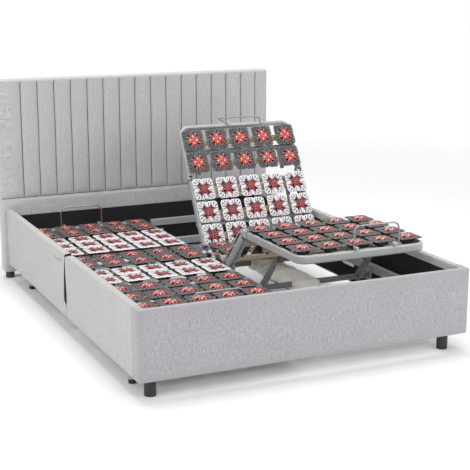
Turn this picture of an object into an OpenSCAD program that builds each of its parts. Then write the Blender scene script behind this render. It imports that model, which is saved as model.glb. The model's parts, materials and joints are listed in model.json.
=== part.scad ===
// Twin adjustable bed base: an upholstered box and headboard around two motor-driven
// bases, each with five hinged sections of slats and spring plots.
// Millimetres, +Z up, +Y towards the headboard, origin on the floor at the centre.

/* [Bed box] */
// Height of the box's underside above the floor
box_bottom = 90; // [80:5:100]
// Height of the box's rim above the flat plots
rim = 90; // [80:2:110]
// Thickness of a side rail with its padding
rail_thick = 40; // [36:1:44]
// Thickness of the foot board with its padding
foot_board_thick = 33; // [30:1:40]
// Thickness of the padding over the boards
skin = 7; // [5:1:8]
// How far the fabric turns down inside the box
lip_drop = 38; // [30:1:50]
// Thickness of that turned-in fabric lip
lip_thick = 3; // [2:0.5:4]
// Length of the foot board's wrapped end along each side
corner_return = 82; // [60:1:110]
// Where each side rail is joined, measured along the bed
rail_split_y = -90; // [-150:5:0]
// Width of the slit between two rail halves
rail_slit = 2; // [1:0.5:4]
// Diameter of the feet under the foot board's corners
corner_foot_d = 54; // [44:1:58]
// Gap between a base's legs and the side rail
side_gap = 6.5; // [4:0.5:20]
// Gap between the foot board and a base
foot_gap = 82; // [60:1:110]
// Gap between a base and the headboard's cross panel
head_gap = 80; // [75:1:120]

/* [Headboard] */
// How far the headboard reaches past each side rail
headboard_over = 25; // [10:1:60]
// Height of the headboard's top above the floor
headboard_top = 1175; // [1000:5:1300]
// Thickness of the headboard
headboard_thick = 80; // [70:1:90]
// Height of the headboard's underside above the floor
headboard_lift = 36; // [30:1:60]
// Number of upright channel seams
channel_seams = 16; // [8:2:16]
// Distance from one channel seam to the next
channel_pitch = 100.5; // [90:0.5:102]
// How far the channel seams stand to the right of the middle
seam_shift = 28; // [0:1:40]
// Height of the level seam above the floor
level_seam_z = 479; // [450:1:560]
// Width of a seam's groove
seam_width = 6; // [4:1:10]
// Depth of a seam's groove
seam_depth = 5; // [3:1:8]
// Diameter of the headboard's feet
headboard_foot_d = 52; // [40:1:56]

/* [Plots and slats] */
// Size of a plot's square plate
plate_size = 125; // [110:1:140]
// Corner radius of a plot's plate
plate_radius = 24; // [10:1:40]
// Thickness of a plot's plate
plate_thick = 11; // [8:1:12]
// Height of a plot over its slat
plot_height = 45; // [42:1:50]
// Number of plots across a base
plot_columns = 5; // [5:1:6]
// Gap between plot columns
column_gap = 20.2; // [15:0.1:25]
// Gap between two rows of the upper four sections
row_gap = 10; // [8:1:16]
// Gap between the rows each side of the neck hinge
neck_gap = 37; // [37:1:45]
// Gap between the rows each side of another section break
break_gap = 47; // [47:1:50]
// Gap between rows in the leg section
leg_gap = 25; // [20:1:30]
// Distance from the last row's plates to a base's end
end_margin = 36; // [34:1:50]
// Slat width
slat_width = 38; // [34:1:42]
// Slat thickness
slat_thick = 10; // [8:1:12]

/* [Section frames] */
// How far the plates reach past the middle of the section rails
plate_over = 7.9; // [6:0.1:8]
// Width of a section tube
tube_w = 20; // [18:1:22]
// Height of a section tube
tube_h = 42; // [40:1:44]
// Centre-line radius of a bent frame corner
bend_r = 50; // [40:1:60]
// Tube wall thickness
wall = 1.5; // [1.2:0.1:2.5]
// Thickness of a hinge lug
lug_thick = 6; // [5:0.5:6]
// Hinge pin diameter
pin_d = 12; // [10:1:12]

/* [Fixed frames] */
// Gap between the two bases
base_gap = 27; // [20:1:40]
// Gap between a moving section and its fixed frame
frame_gap = 2; // [1.5:0.5:3]
// Height of the side rails' tops
side_rail_top = 260; // [250:1:270]
// Side rail width
side_rail_w = 24; // [22:1:26]
// Side rail height
side_rail_h = 45; // [40:1:48]
// Width of the head cross bar
head_bar_w = 25; // [20:1:30]
// Height of the head cross bar
head_bar_h = 40; // [34:1:40]
// Distance from a base's ends to its legs
leg_inset = 152; // [130:2:180]
// Leg diameter
leg_d = 36; // [30:1:40]

/* [Hinges and lifts] */
// Height of the back hinge above the side rails
back_hinge_rise = 18; // [17:1:19]
// Depth of the neck hinge below the tubes' tops
neck_hinge_drop = 18; // [17:1:19]
// Depth of the thigh hinge below the side rails' tops
thigh_hinge_drop = 25; // [24:1:26]
// Depth of the knee hinge below the tubes' tops
knee_hinge_drop = 15; // [14:1:16]
// Distance from the back's last plates to its hinge
back_hinge_gap = 2; // [1:0.5:3]
// How far the thigh's first plates lap over its hinge
thigh_hinge_lap = 3; // [2:0.5:4]
// Distance from the thigh's last plates to the knee hinge
knee_hinge_gap = 32; // [30:1:34]
// Depth of the lift tubes below the side rails' tops
lift_drop = 60; // [56:1:62]
// Distance from the head lift tube to the back hinge
head_tube_back = 113; // [110:1:116]
// Distance from the knee hinge to the leg lift tube
leg_tube_back = 41; // [38:1:44]
// Torsion tube diameter
torsion_d = 30; // [26:1:30]
// Length of the head lift's arms
head_arm = 280; // [270:1:290]
// How far the head lift's arms bow down
head_arm_bow = 20; // [18:1:22]
// Length of the leg lift's arms
leg_arm = 250; // [245:1:255]
// Lift roller diameter
roller_d = 36; // [30:1:36]
// Distance from a section rail's middle to a lift arm
arm_inset = 60; // [58:1:62]

/* [Retainers] */
// Width of a retainer over its legs' centres
retainer_w = 250; // [220:2:260]
// Height of a retainer above its pivot
retainer_h = 112; // [90:1:112]
// Retainer wire diameter
wire_d = 8; // [6:0.5:8]
// Sideways offset of the left base's retainers
left_retainer_x = -18; // [-60:1:60]
// Sideways offset of the right base's retainers
right_retainer_x = 58; // [-60:1:60]

/* [Drive unit] */
// Drive housing width
drive_w = 160; // [140:2:180]
// Drive housing length
drive_l = 650; // [620:5:680]
// Drive housing height
drive_h = 78; // [70:1:78]
// Depth of the housing's top below the side rails' tops
drive_drop = 30; // [30:1:34]
// Sideways offset of the housing
drive_x = -40; // [-60:2:60]

/* [Pose] */
// Back angle of the left base
left_back = 0; // [0:1:60]
// Back angle of the right base
right_back = 60; // [0:1:60]
// Thigh angle of the left base
left_thigh = 0; // [0:1:46]
// Thigh angle of the right base
right_thigh = 46; // [0:1:46]

/* [Hidden] */
$fn = 48;
// Seam left between two pieces that meet
fit = 0.05;
// Radial clearance of a pin in its bore
running = 0.1;
// Clearance over a lift roller
roller_gap = 2;

// Row positions along a base, head end first, centred on the base.
row_pitch = plate_size + row_gap;
neck_pitch = plate_size + neck_gap;
break_pitch = plate_size + break_gap;
leg_pitch = plate_size + leg_gap;
column_pitch = plate_size + column_gap;
gaps = [row_pitch, neck_pitch, row_pitch, row_pitch, break_pitch, row_pitch,
        break_pitch, row_pitch, break_pitch, leg_pitch, leg_pitch, leg_pitch];
function run(n) = n < 1 ? 0 : run(n - 1) + gaps[n - 1];
half_run = run(len(gaps)) / 2;
function row_y(n) = half_run - run(n - 1);
neck_rows = [1, 2];
back_rows = [3, 4, 5];
seat_rows = [6, 7];
thigh_rows = [8, 9];
leg_rows = [10, 11, 12, 13];
base_length = 2 * half_run + plate_size + 2 * end_margin;
end_y = base_length / 2;

// Positions across a base, from its middle.
field_half = ((plot_columns - 1) * column_pitch + plate_size) / 2;
rail_x = field_half - plate_over;
side_rail_x = rail_x + tube_w / 2 + frame_gap + side_rail_w / 2;
leg_x = side_rail_x + 3;
arm_x = rail_x - arm_inset;
base_half = leg_x + leg_d / 2;
base_x = base_gap / 2 + base_half;

// The box goes round the two bases.
head_bar_gap = 8;
cross_panel_thick = 12;
box_width = 2 * (base_x + base_half + side_gap + rail_thick);
headboard_width = box_width + 2 * headboard_over;
head_end = base_length + head_bar_gap + head_bar_w;
bed_length = foot_board_thick + foot_gap + head_end + head_gap + cross_panel_thick
             + headboard_thick;
foot_y = -bed_length / 2;
foot_inner_y = foot_y + foot_board_thick;
base_y = foot_inner_y + foot_gap + base_length / 2;
rail_start_y = foot_y + corner_return;
headboard_y = bed_length / 2 - headboard_thick;
ledge_t = 6;
rail_outer_x = box_width / 2;
rail_inner_x = rail_outer_x - rail_thick;
board_x0 = rail_inner_x + lip_thick;
board_x1 = rail_outer_x - skin;
tube_top = side_rail_top + frame_gap + tube_h;
slat_low = tube_top - tube_h + 1 + ledge_t;
slat_top = slat_low + slat_thick;
plot_top = slat_top + plot_height;
box_top = plot_top + rim;
bottom_skin = 4;
board_z0 = box_bottom + bottom_skin;
board_z1 = box_top - skin;
lip_z = box_top - lip_drop;
cross_panel_y = headboard_y - cross_panel_thick;

tube_mid = tube_top - tube_h / 2;
tube_low = tube_top - tube_h;
rail_in = rail_x - tube_w / 2;
rail_out = rail_x + tube_w / 2;
ledge_w = 20;
slat_half = rail_in - 2;
cross_w = 25;
cross_h = 25;
cross_half = rail_out - 9;
cross_low = tube_low - cross_h;
lift_bar_x = arm_x - 20;
lift_bar_h = 20;
side_in = side_rail_x - side_rail_w / 2;
side_out = side_rail_x + side_rail_w / 2;
side_low = side_rail_top - side_rail_h;
leg_bar_w = 30;
leg_bar_h = 40;
ear_half_t = 4;
lug_r = 17;
lug_in = 8;
pivot_y = end_y + 3;
pivot_z = tube_top + 8;

// Hinges and lift tubes, along the base and up.
half_plate = plate_size / 2;
back_hinge = [row_y(5) - half_plate - back_hinge_gap, side_rail_top + back_hinge_rise];
neck_hinge = [(row_y(2) + row_y(3)) / 2, tube_top - neck_hinge_drop];
thigh_hinge = [row_y(8) + half_plate - thigh_hinge_lap, side_rail_top - thigh_hinge_drop];
knee_hinge = [row_y(9) - half_plate - knee_hinge_gap, tube_top - knee_hinge_drop];
lift_z = side_rail_top - lift_drop;
head_tube = [back_hinge[0] - head_tube_back, lift_z];
leg_tube = [knee_hinge[0] + leg_tube_back, lift_z];
drive_top = side_rail_top - drive_drop;
leg_bar_y = end_y - leg_inset;

// Section cross tubes, along the base.
neck_cross_y = row_y(1) - 51.5;
upper_back_cross_y = neck_hinge[0] - 30.5;
lower_back_cross_y = head_tube[0] + head_arm - 12;
thigh_cross_y = knee_hinge[0] + 44;
upper_leg_cross_y = knee_hinge[0] - 41;
lower_leg_cross_y = row_y(11);
roller_run = 53;

function back_angle(side) = side < 0 ? left_back : right_back;
function thigh_angle(side) = side < 0 ? left_thigh : right_thigh;

// The right head retainer hangs over the end and is pushed up by the head bar as the
// back comes down.
flat_fold = 66;
fold_ratio = 79 / 60;
function fold_angle(side) = side < 0 ? 0 : flat_fold + fold_ratio * right_back;
function retainer_x(side) = side < 0 ? left_retainer_x : right_retainer_x;

// The knee's rise and shift when the thigh turns by a.
knee_arm = thigh_hinge[0] - knee_hinge[0];
knee_over = knee_hinge[1] - thigh_hinge[1];
function knee_rise(a) = knee_arm * sin(a) - knee_over * (1 - cos(a));
function knee_shift(a) = knee_arm * (1 - cos(a)) + knee_over * sin(a);

// The head arms' angle that puts their rollers under the back's lift bars.
back_bar_low = tube_low - cross_h;
head_reach = back_bar_low - roller_d / 2 - roller_gap - back_hinge[1];
function head_arm_angle(a) =
    a + asin((head_reach + (head_tube[0] - back_hinge[0]) * sin(a)
              - (head_tube[1] - back_hinge[1]) * cos(a)) / head_arm);

// The leg arms' angle that puts their rollers under the leg section's tracks.
track_low = cross_low - lift_bar_h;
leg_reach = track_low - roller_d / 2 - roller_gap - leg_tube[1];
function leg_arm_angle(a) = asin((leg_reach + knee_rise(a)) / leg_arm);

// ---------- profiles and bars ----------

module rounded(w, h, r) {
    square([w - 2 * r, h], center = true);
    square([w, h - 2 * r], center = true);
    for (sx = [-1, 1], sy = [-1, 1])
        translate([sx * (w / 2 - r), sy * (h / 2 - r)])
            circle(r);
}

module tube_profile(w, h, r) {
    difference() {
        rounded(w, h, r);
        rounded(w - 2 * wall, h - 2 * wall, r - wall);
    }
}

// A hollow bar along x, its section centred on y and z.
module bar_x(len, y, z, w, h, r = 4) {
    translate([0, y, z])
        rotate([90, 0, 90])
            linear_extrude(len, center = true)
                tube_profile(w, h, r);
}

// A hollow bar along y from y0 to y1.
module bar_y(x, y0, y1, z, w, h, r = 4) {
    translate([x, (y0 + y1) / 2, z])
        rotate([90, 0, 0])
            linear_extrude(abs(y1 - y0), center = true)
                tube_profile(w, h, r);
}

module block(x0, x1, y0, y1, z0, z1) {
    translate([x0, y0, z0])
        cube([x1 - x0, y1 - y0, z1 - z0]);
}

module rod_x(x0, x1, y, z, r) {
    translate([x0, y, z])
        rotate([0, 90, 0])
            cylinder(h = x1 - x0, r = r);
}

// A plate in the y-z plane between x0 and x1, its outline drawn as (y, z).
module plate_x(x0, x1) {
    translate([x0, 0, 0])
        rotate([90, 0, 90])
            linear_extrude(x1 - x0)
                children();
}

module both_sides() {
    children();
    mirror([1, 0, 0])
        children();
}

// ---------- placing ----------

module at_base(side) {
    translate([side * base_x, base_y, 0])
        children();
}

module turned(hinge, angle) {
    translate([0, hinge[0], hinge[1]])
        rotate([angle, 0, 0])
            translate([0, -hinge[0], -hinge[1]])
                children();
}

module on_back(side) {
    at_base(side)
        turned(back_hinge, back_angle(side))
            children();
}

module on_thigh(side) {
    at_base(side)
        turned(thigh_hinge, -thigh_angle(side))
            children();
}

module on_leg(side) {
    at_base(side)
        translate([0, knee_shift(thigh_angle(side)), knee_rise(thigh_angle(side))])
            children();
}

// ---------- shared pieces of a base ----------

module plot(x, y) {
    bowl_low = slat_top;
    bowl_high = plot_top - plate_thick;
    translate([x, y, 0])
        union() {
            translate([0, 0, bowl_low])
                cylinder(h = bowl_high - bowl_low, r1 = 24, r2 = 46);
            translate([0, 0, bowl_high])
                linear_extrude(plate_thick)
                    rounded(plate_size, plate_size, plate_radius);
        }
}

module plots(rows) {
    for (n = rows, c = [0 : plot_columns - 1])
        plot((c - (plot_columns - 1) / 2) * column_pitch, row_y(n));
}

module slats(rows, half) {
    for (n = rows)
        block(-half, half, row_y(n) - slat_width / 2, row_y(n) + slat_width / 2,
              slat_low, slat_top);
}

// A ledge along each rail that carries the ends of a section's slats.
module ledges(rows) {
    over = slat_width / 2 + 5;
    both_sides()
        block(rail_in - fit - ledge_w, rail_in - fit, row_y(rows[len(rows) - 1]) - over,
              row_y(rows[0]) + over, slat_low - ledge_t, slat_low);
}

// Two rails from y_start, bent round into one end tube whose outer face is at y_end.
module looped_frame(y_start, y_end) {
    bend_y = y_end - tube_w / 2 - bend_r;
    both_sides() {
        bar_y(rail_x, y_start, bend_y - fit, tube_mid, tube_w, tube_h, 9);
        translate([rail_x - bend_r, bend_y, tube_mid])
            rotate_extrude(angle = 90)
                translate([bend_r, 0])
                    tube_profile(tube_w, tube_h, 9);
    }
    bar_x(2 * (rail_x - bend_r - fit), y_end - tube_w / 2, tube_mid, tube_w, tube_h, 9);
}

module section_cross(y) {
    bar_x(2 * cross_half, y, cross_low + cross_h / 2 - fit, cross_w, cross_h - fit);
}

// A hinge lug: a round eye at the hinge with an arm from y0 to y1 and z0 to z1.
module lug(x0, x1, hinge, y0, y1, z0, z1) {
    plate_x(x0, x1)
        difference() {
            union() {
                translate(hinge)
                    circle(lug_r);
                translate([y0, z0])
                    square([y1 - y0, z1 - z0]);
            }
            translate(hinge)
                circle(pin_d / 2 + running);
        }
}

module inner_lugs(hinge, y0, y1, z0, z1) {
    both_sides()
        lug(rail_in - fit - lug_in, rail_in - fit, hinge, y0, y1, z0, z1);
}

module outer_lugs(hinge, y0, y1, z0, z1) {
    both_sides()
        lug(rail_out + fit, rail_out + fit + lug_thick, hinge, y0, y1, z0, z1);
}

// Two ears on the head end's tube that hold a retainer's wire ends.
module retainer_ears(x) {
    ear_w = 14;
    for (s = [-1, 1])
        translate([x + s * (retainer_w / 2 - 18), 0, 0])
            difference() {
                block(-ear_w / 2, ear_w / 2, end_y - 16, pivot_y + 8,
                      tube_top + fit, pivot_z + 8);
                rod_x(-ear_w, ear_w, pivot_y, pivot_z, wire_d / 2 + running);
            }
}

// A wire retainer, upright on its pivot at the origin.
module retainer() {
    r = wire_d / 2;
    foot_bend = 2 * r;
    top_bend = 35;
    half = retainer_w / 2;
    both_sides() {
        rod_x(half - 28, half - foot_bend - fit, 0, 0, r);
        translate([half - foot_bend, 0, foot_bend])
            rotate([90, 90, 0])
                rotate_extrude(angle = 90)
                    translate([foot_bend, 0])
                        circle(r);
        translate([half, 0, foot_bend + fit])
            cylinder(h = retainer_h - top_bend - foot_bend - 2 * fit, r = r);
        translate([half - top_bend, 0, retainer_h - top_bend])
            rotate([90, 0, 0])
                rotate_extrude(angle = 90)
                    translate([top_bend, 0])
                        circle(r);
    }
    rod_x(-half + top_bend + fit, half - top_bend - fit, 0, retainer_h, r);
}

// A torsion tube with two arms and rollers; the arms point along +y at the given angle
// and bow down by bow.
module lift(centre, arm, angle, half, bow = 0) {
    arm_t = 8;
    eye_r = 24;
    tip_r = 14;
    axle_r = 5;
    waist = 14;
    elbow = 0.6 * arm;
    r = torsion_d / 2;
    translate([0, centre[0], centre[1]])
        rotate([angle, 0, 0]) {
            rotate([0, 90, 0])
                difference() {
                    cylinder(h = 2 * half, r = r, center = true);
                    cylinder(h = 2 * half + 2, r = r - 2.5, center = true);
                }
            both_sides() {
                plate_x(arm_x - arm_t / 2, arm_x + arm_t / 2)
                    difference() {
                        union() {
                            circle(eye_r);
                            translate([arm, 0])
                                circle(tip_r);
                            if (bow == 0)
                                polygon([[0, -eye_r], [arm, -tip_r], [arm, tip_r], [0, eye_r]]);
                            else
                                polygon([[0, -eye_r], [elbow, -bow - waist], [arm, -tip_r],
                                         [arm, tip_r], [elbow, waist - bow], [0, eye_r]]);
                        }
                        circle(r + fit);
                        translate([arm, 0])
                            circle(axle_r + running);
                    }
                union() {
                    rod_x(lift_bar_x - 10, lift_bar_x + 10, arm, 0, roller_d / 2);
                    rod_x(lift_bar_x + 10, arm_x + arm_t / 2, arm, 0, axle_r);
                }
            }
        }
}

// ---------- upholstered box and headboard ----------

// The headboard's wooden panel stops this far inside the cover's edges.
panel_edge = 15;
panel_thick = 30;
panel_half = headboard_width / 2 - panel_edge;
panel_y = bed_length / 2 - panel_thick;
panel_top = headboard_top - panel_edge;

module headboard_panel() {
    color("dimgray")
        block(-panel_half, panel_half, panel_y, bed_length / 2, headboard_lift + fit, panel_top);
}

module headboard_cover() {
    seam_x0 = seam_shift - (channel_seams - 1) / 2 * channel_pitch;
    corner = 18;
    color([0.70, 0.70, 0.69])
        difference() {
            translate([0, headboard_y + headboard_thick / 2, headboard_lift])
                linear_extrude(headboard_top - headboard_lift)
                    rounded(headboard_width, headboard_thick, corner);
            block(-panel_half - fit, panel_half + fit, panel_y - fit, bed_length / 2 + 1,
                  headboard_lift - 1, panel_top + fit);
            for (i = [0 : channel_seams - 1])
                block(seam_x0 + i * channel_pitch - seam_width / 2,
                      seam_x0 + i * channel_pitch + seam_width / 2,
                      headboard_y - 1, headboard_y + seam_depth,
                      level_seam_z, headboard_top + 1);
            block(-headboard_width / 2 - 1, headboard_width / 2 + 1,
                  headboard_y - 1, headboard_y + seam_depth,
                  level_seam_z - seam_width / 2, level_seam_z + seam_width / 2);
        }
}

module headboard_feet() {
    foot_x = headboard_width / 2 - 39;
    foot_back = 32;
    color([0.16, 0.16, 0.18])
        for (s = [-1, 1])
            translate([s * foot_x, headboard_y + foot_back, 0])
                cylinder(h = headboard_lift, r = headboard_foot_d / 2);
}

module head_cross_panel() {
    color([0.08, 0.07, 0.08])
        block(-rail_inner_x + 4, rail_inner_x - 4, cross_panel_y, headboard_y - fit,
              box_bottom, lip_z);
}

module rail_cover(y0, y1) {
    mid_x = (rail_inner_x + rail_outer_x) / 2;
    mid_z = (box_bottom + box_top) / 2;
    translate([0, y1, 0])
        rotate([90, 0, 0])
            linear_extrude(y1 - y0)
                difference() {
                    translate([mid_x, mid_z])
                        rounded(rail_thick, box_top - box_bottom, 2.5);
                    translate([board_x0, board_z0])
                        square([board_x1 - board_x0, board_z1 - board_z0]);
                    translate([rail_inner_x - 1, board_z0])
                        square([lip_thick + 2, lip_z - board_z0]);
                }
}

module rail_covers() {
    rail_cover(rail_start_y, rail_split_y - rail_slit / 2);
    rail_cover(rail_split_y + rail_slit / 2, headboard_y - fit);
}

module left_rail_covers() {
    color([0.76, 0.75, 0.73])
        mirror([1, 0, 0])
            rail_covers();
}

module right_rail_covers() {
    color([0.76, 0.75, 0.73])
        rail_covers();
}

module side_rail_boards() {
    color([0.09, 0.08, 0.09])
        both_sides() {
            block(board_x0 + fit, board_x1 - fit, rail_start_y + fit,
                  rail_split_y - rail_slit / 2 - fit, board_z0 + fit, board_z1 - fit);
            block(board_x0 + fit, board_x1 - fit, rail_split_y + rail_slit / 2 + fit,
                  headboard_y - 2 * fit, board_z0 + fit, board_z1 - fit);
        }
}

module foot_board_panel() {
    color([0.09, 0.08, 0.09])
        block(-board_x1 + fit, board_x1 - fit, foot_y + skin + fit,
              foot_inner_y - lip_thick - fit, board_z0 + fit, board_z1 - fit);
}

module foot_board_cover() {
    color([0.74, 0.73, 0.74]) {
        difference() {
            block(-rail_outer_x, rail_outer_x, foot_y, foot_inner_y, box_bottom, box_top);
            block(-board_x1, board_x1, foot_y + skin, foot_inner_y - lip_thick,
                  board_z0, board_z1);
            block(-rail_inner_x, rail_inner_x, foot_inner_y - lip_thick - 1,
                  foot_inner_y + 1, board_z0, lip_z);
        }
        both_sides()
            block(rail_inner_x, rail_outer_x, foot_inner_y + fit, rail_start_y - fit,
                  box_bottom, box_top);
    }
}

// The blocks inside the foot board's corners, with a foot under each.
block_w = 80;
block_l = 90;
block_top = 200;
foot_from_side = 43;
foot_from_end = 57;

module corner_blocks() {
    color([0.72, 0.56, 0.38])
        both_sides()
            block(rail_inner_x - block_w, rail_inner_x - fit, foot_inner_y + fit,
                  foot_inner_y + block_l, box_bottom, block_top);
}

module corner_feet() {
    color([0.16, 0.16, 0.18])
        both_sides()
            translate([rail_inner_x - foot_from_side, foot_inner_y + foot_from_end, 0])
                cylinder(h = box_bottom - fit, r = corner_foot_d / 2);
}

// Steel plates over the rails' joints and angle brackets at the headboard.
plate_t = 3;
plate_half = 60;
plate_z0 = 180;
plate_z1 = 320;
bracket_y = cross_panel_y - fit;
bracket_z0 = 200;
bracket_z1 = 330;
bracket_back = 60;
bracket_across = 50;

module joint_plates() {
    color("silver")
        both_sides()
            block(board_x0 - plate_t, board_x0, rail_split_y - plate_half,
                  rail_split_y + plate_half, plate_z0, plate_z1);
}

module headboard_brackets() {
    color("silver")
        both_sides()
            union() {
                block(board_x0 - plate_t, board_x0, bracket_y - bracket_back, bracket_y,
                      bracket_z0, bracket_z1);
                block(board_x0 - bracket_across, board_x0, bracket_y - plate_t, bracket_y,
                      bracket_z0, bracket_z1);
            }
}

module joint_bolts() {
    head_r = 7;
    head_t = 4;
    face = board_x0 - plate_t - fit;
    color("gray")
        both_sides() {
            for (dy = [-40, 40], z = [plate_z0 + 30, plate_z1 - 30])
                rod_x(face - head_t, face, rail_split_y + dy, z, head_r);
            for (z = [bracket_z0 + 30, bracket_z1 - 30])
                rod_x(face - head_t, face, bracket_y - 35, z, head_r);
        }
}

// ---------- fixed frames ----------

module base_frame() {
    head_y = end_y + head_bar_gap;
    side_mid = side_rail_top - side_rail_h / 2;
    bearing_t = 8;
    bearing_half = 25;
    stop_w = 17;
    stop_half = 10;
    stop_y = end_y - 85;
    cable_hole_r = 4;
    seat_mid = (row_y(seat_rows[0]) + row_y(seat_rows[1])) / 2;
    bearing_low = head_tube[1] - bearing_half;
    color([0.60, 0.60, 0.63]) {
        both_sides() {
            bar_y(side_rail_x, -end_y, head_y + head_bar_w, side_mid,
                  side_rail_w, side_rail_h);
            // bearings of the two torsion tubes
            for (centre = [head_tube, leg_tube])
                plate_x(side_in - fit - bearing_t, side_in - fit)
                    difference() {
                        translate([centre[0] - bearing_half, bearing_low])
                            square([2 * bearing_half, side_rail_top - 2 - bearing_low]);
                        translate(centre)
                            circle(torsion_d / 2 + running);
                    }
            // stops the sections lie down on
            for (s = [-1, 1])
                block(side_in - fit - stop_w, side_in - fit, s * stop_y - stop_half,
                      s * stop_y + stop_half, side_rail_top - 20, tube_low - 0.5);
            // ears that carry the back hinge
            block(side_rail_x - ear_half_t, side_rail_x + ear_half_t, back_hinge[0] - lug_r,
                  back_hinge[0] + lug_r, side_rail_top + fit, back_hinge[1] + 18);
        }
        difference() {
            bar_x(2 * side_out, head_y + head_bar_w / 2, side_rail_top + fit + head_bar_h / 2,
                  head_bar_w, head_bar_h);
            translate([-rail_x + 60, head_y - 1, side_rail_top + head_bar_h / 2])
                rotate([-90, 0, 0])
                    cylinder(h = head_bar_w + 2, r = cable_hole_r);
        }
        bar_x(2 * (side_in - fit), -end_y + side_rail_w / 2, side_mid, side_rail_w,
              side_rail_h);
        bar_x(2 * (side_in - fit), seat_mid, side_rail_top - 14.5, cross_w, cross_h);
        for (s = [-1, 1])
            bar_x(2 * base_half, s * leg_bar_y, side_low - fit - leg_bar_h / 2, leg_bar_w,
                  leg_bar_h);
    }
}

module left_base_frame() {
    at_base(-1)
        base_frame();
}

module right_base_frame() {
    at_base(1)
        base_frame();
}

glide_h = 20;

module at_legs() {
    for (side = [-1, 1], sx = [-1, 1], sy = [-1, 1])
        at_base(side)
            translate([sx * leg_x, sy * leg_bar_y, 0])
                children();
}

module base_legs() {
    leg_top = side_low - leg_bar_h - 2 * fit;
    color([0.58, 0.58, 0.60])
        at_legs()
            translate([0, 0, glide_h])
                difference() {
                    cylinder(h = leg_top - glide_h, r = leg_d / 2);
                    translate([0, 0, -1])
                        cylinder(h = leg_top - glide_h - 5, r = leg_d / 2 - 2);
                }
}

module leg_glides() {
    color([0.12, 0.12, 0.13])
        at_legs()
            cylinder(h = glide_h - fit, r = leg_d / 2);
}

module seat_slat_rests() {
    color([0.10, 0.10, 0.11])
        for (side = [-1, 1])
            at_base(side)
                both_sides()
                    for (n = seat_rows)
                        block(side_in + 3, side_out - 3, row_y(n) - slat_width / 2 - 3,
                              row_y(n) + slat_width / 2 + 3, side_rail_top, slat_low);
}

module seat_slats() {
    color([0.86, 0.74, 0.60])
        for (side = [-1, 1])
            at_base(side)
                slats(seat_rows, side_out - 5);
}

module seat_plots() {
    color([0.34, 0.35, 0.35])
        for (side = [-1, 1])
            at_base(side)
                plots(seat_rows);
}

module section_pins() {
    x0 = rail_in - fit - lug_in - 1;
    color("gainsboro")
        for (side = [-1, 1])
            at_base(side)
                both_sides() {
                    rod_x(x0, side_rail_x - ear_half_t - fit, back_hinge[0], back_hinge[1],
                          pin_d / 2);
                    rod_x(x0, side_in - fit, thigh_hinge[0], thigh_hinge[1], pin_d / 2);
                }
}

module drive_unit() {
    can_r = 32;
    can_l = 160;
    can_apart = 240;
    mid_y = (head_tube[0] + leg_tube[0]) / 2;
    color([0.60, 0.61, 0.56])
        difference() {
            union() {
                translate([drive_x, mid_y, drive_top - drive_h])
                    linear_extrude(drive_h)
                        rounded(drive_w, drive_l, 30);
                for (s = [-1, 1])
                    translate([drive_x, mid_y + (s * can_apart + can_l) / 2, drive_top - drive_h])
                        rotate([90, 0, 0])
                            cylinder(h = can_l, r = can_r);
            }
            for (centre = [head_tube, leg_tube])
                rod_x(drive_x - drive_w, drive_x + drive_w, centre[0], centre[1],
                      torsion_d / 2 + 1);
        }
}

module left_drive_unit() {
    at_base(-1)
        drive_unit();
}

module right_drive_unit() {
    at_base(1)
        drive_unit();
}

// ---------- moving sections ----------

frame_colour = [0.44, 0.44, 0.46];
slat_colour = [0.86, 0.74, 0.60];
grey_plot = [0.34, 0.35, 0.35];
white_plot = [0.92, 0.92, 0.94];
wire_colour = [0.78, 0.78, 0.80];
lift_colour = [0.30, 0.30, 0.32];

module neck_frame(side) {
    color(frame_colour)
        on_back(side) {
            looped_frame(neck_hinge[0] + 12, end_y);
            ledges(neck_rows);
            outer_lugs(neck_hinge, neck_hinge[0], neck_hinge[0] + 55, tube_low + 6, tube_top - 4);
            section_cross(neck_cross_y);
            both_sides()
                bar_y(lift_bar_x, neck_hinge[0] + 34.5, neck_cross_y - cross_w / 2 - fit,
                      cross_low + lift_bar_h / 2, tube_w, lift_bar_h);
            retainer_ears(retainer_x(side));
        }
}

module back_frame(side) {
    color(frame_colour)
        on_back(side) {
            both_sides() {
                bar_y(rail_x, back_hinge[0] + 12, neck_hinge[0] - 22, tube_mid,
                      tube_w, tube_h, 9);
                bar_y(lift_bar_x, lower_back_cross_y - roller_run,
                      lower_back_cross_y - cross_w / 2 - fit, cross_low + lift_bar_h / 2,
                      tube_w, lift_bar_h);
                bar_y(lift_bar_x, lower_back_cross_y + cross_w / 2 + fit,
                      upper_back_cross_y - cross_w / 2 - fit, cross_low + lift_bar_h / 2,
                      tube_w, lift_bar_h);
            }
            ledges(back_rows);
            inner_lugs(back_hinge, back_hinge[0], back_hinge[0] + 40, tube_low + 1, tube_top - 9);
            inner_lugs(neck_hinge, neck_hinge[0] - 48, neck_hinge[0], tube_low + 8, tube_top - 2);
            section_cross(lower_back_cross_y);
            section_cross(upper_back_cross_y);
        }
}

module thigh_frame(side) {
    color(frame_colour)
        on_thigh(side) {
            both_sides()
                bar_y(rail_x, knee_hinge[0] + 25, thigh_hinge[0] + 2, tube_mid,
                      tube_w, tube_h, 9);
            ledges(thigh_rows);
            inner_lugs(thigh_hinge, thigh_hinge[0] - 29, thigh_hinge[0] + 12,
                       thigh_hinge[1], tube_top - 14);
            inner_lugs(knee_hinge, knee_hinge[0], knee_hinge[0] + 62, tube_low + 10, tube_top);
            section_cross(thigh_cross_y);
        }
}

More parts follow.
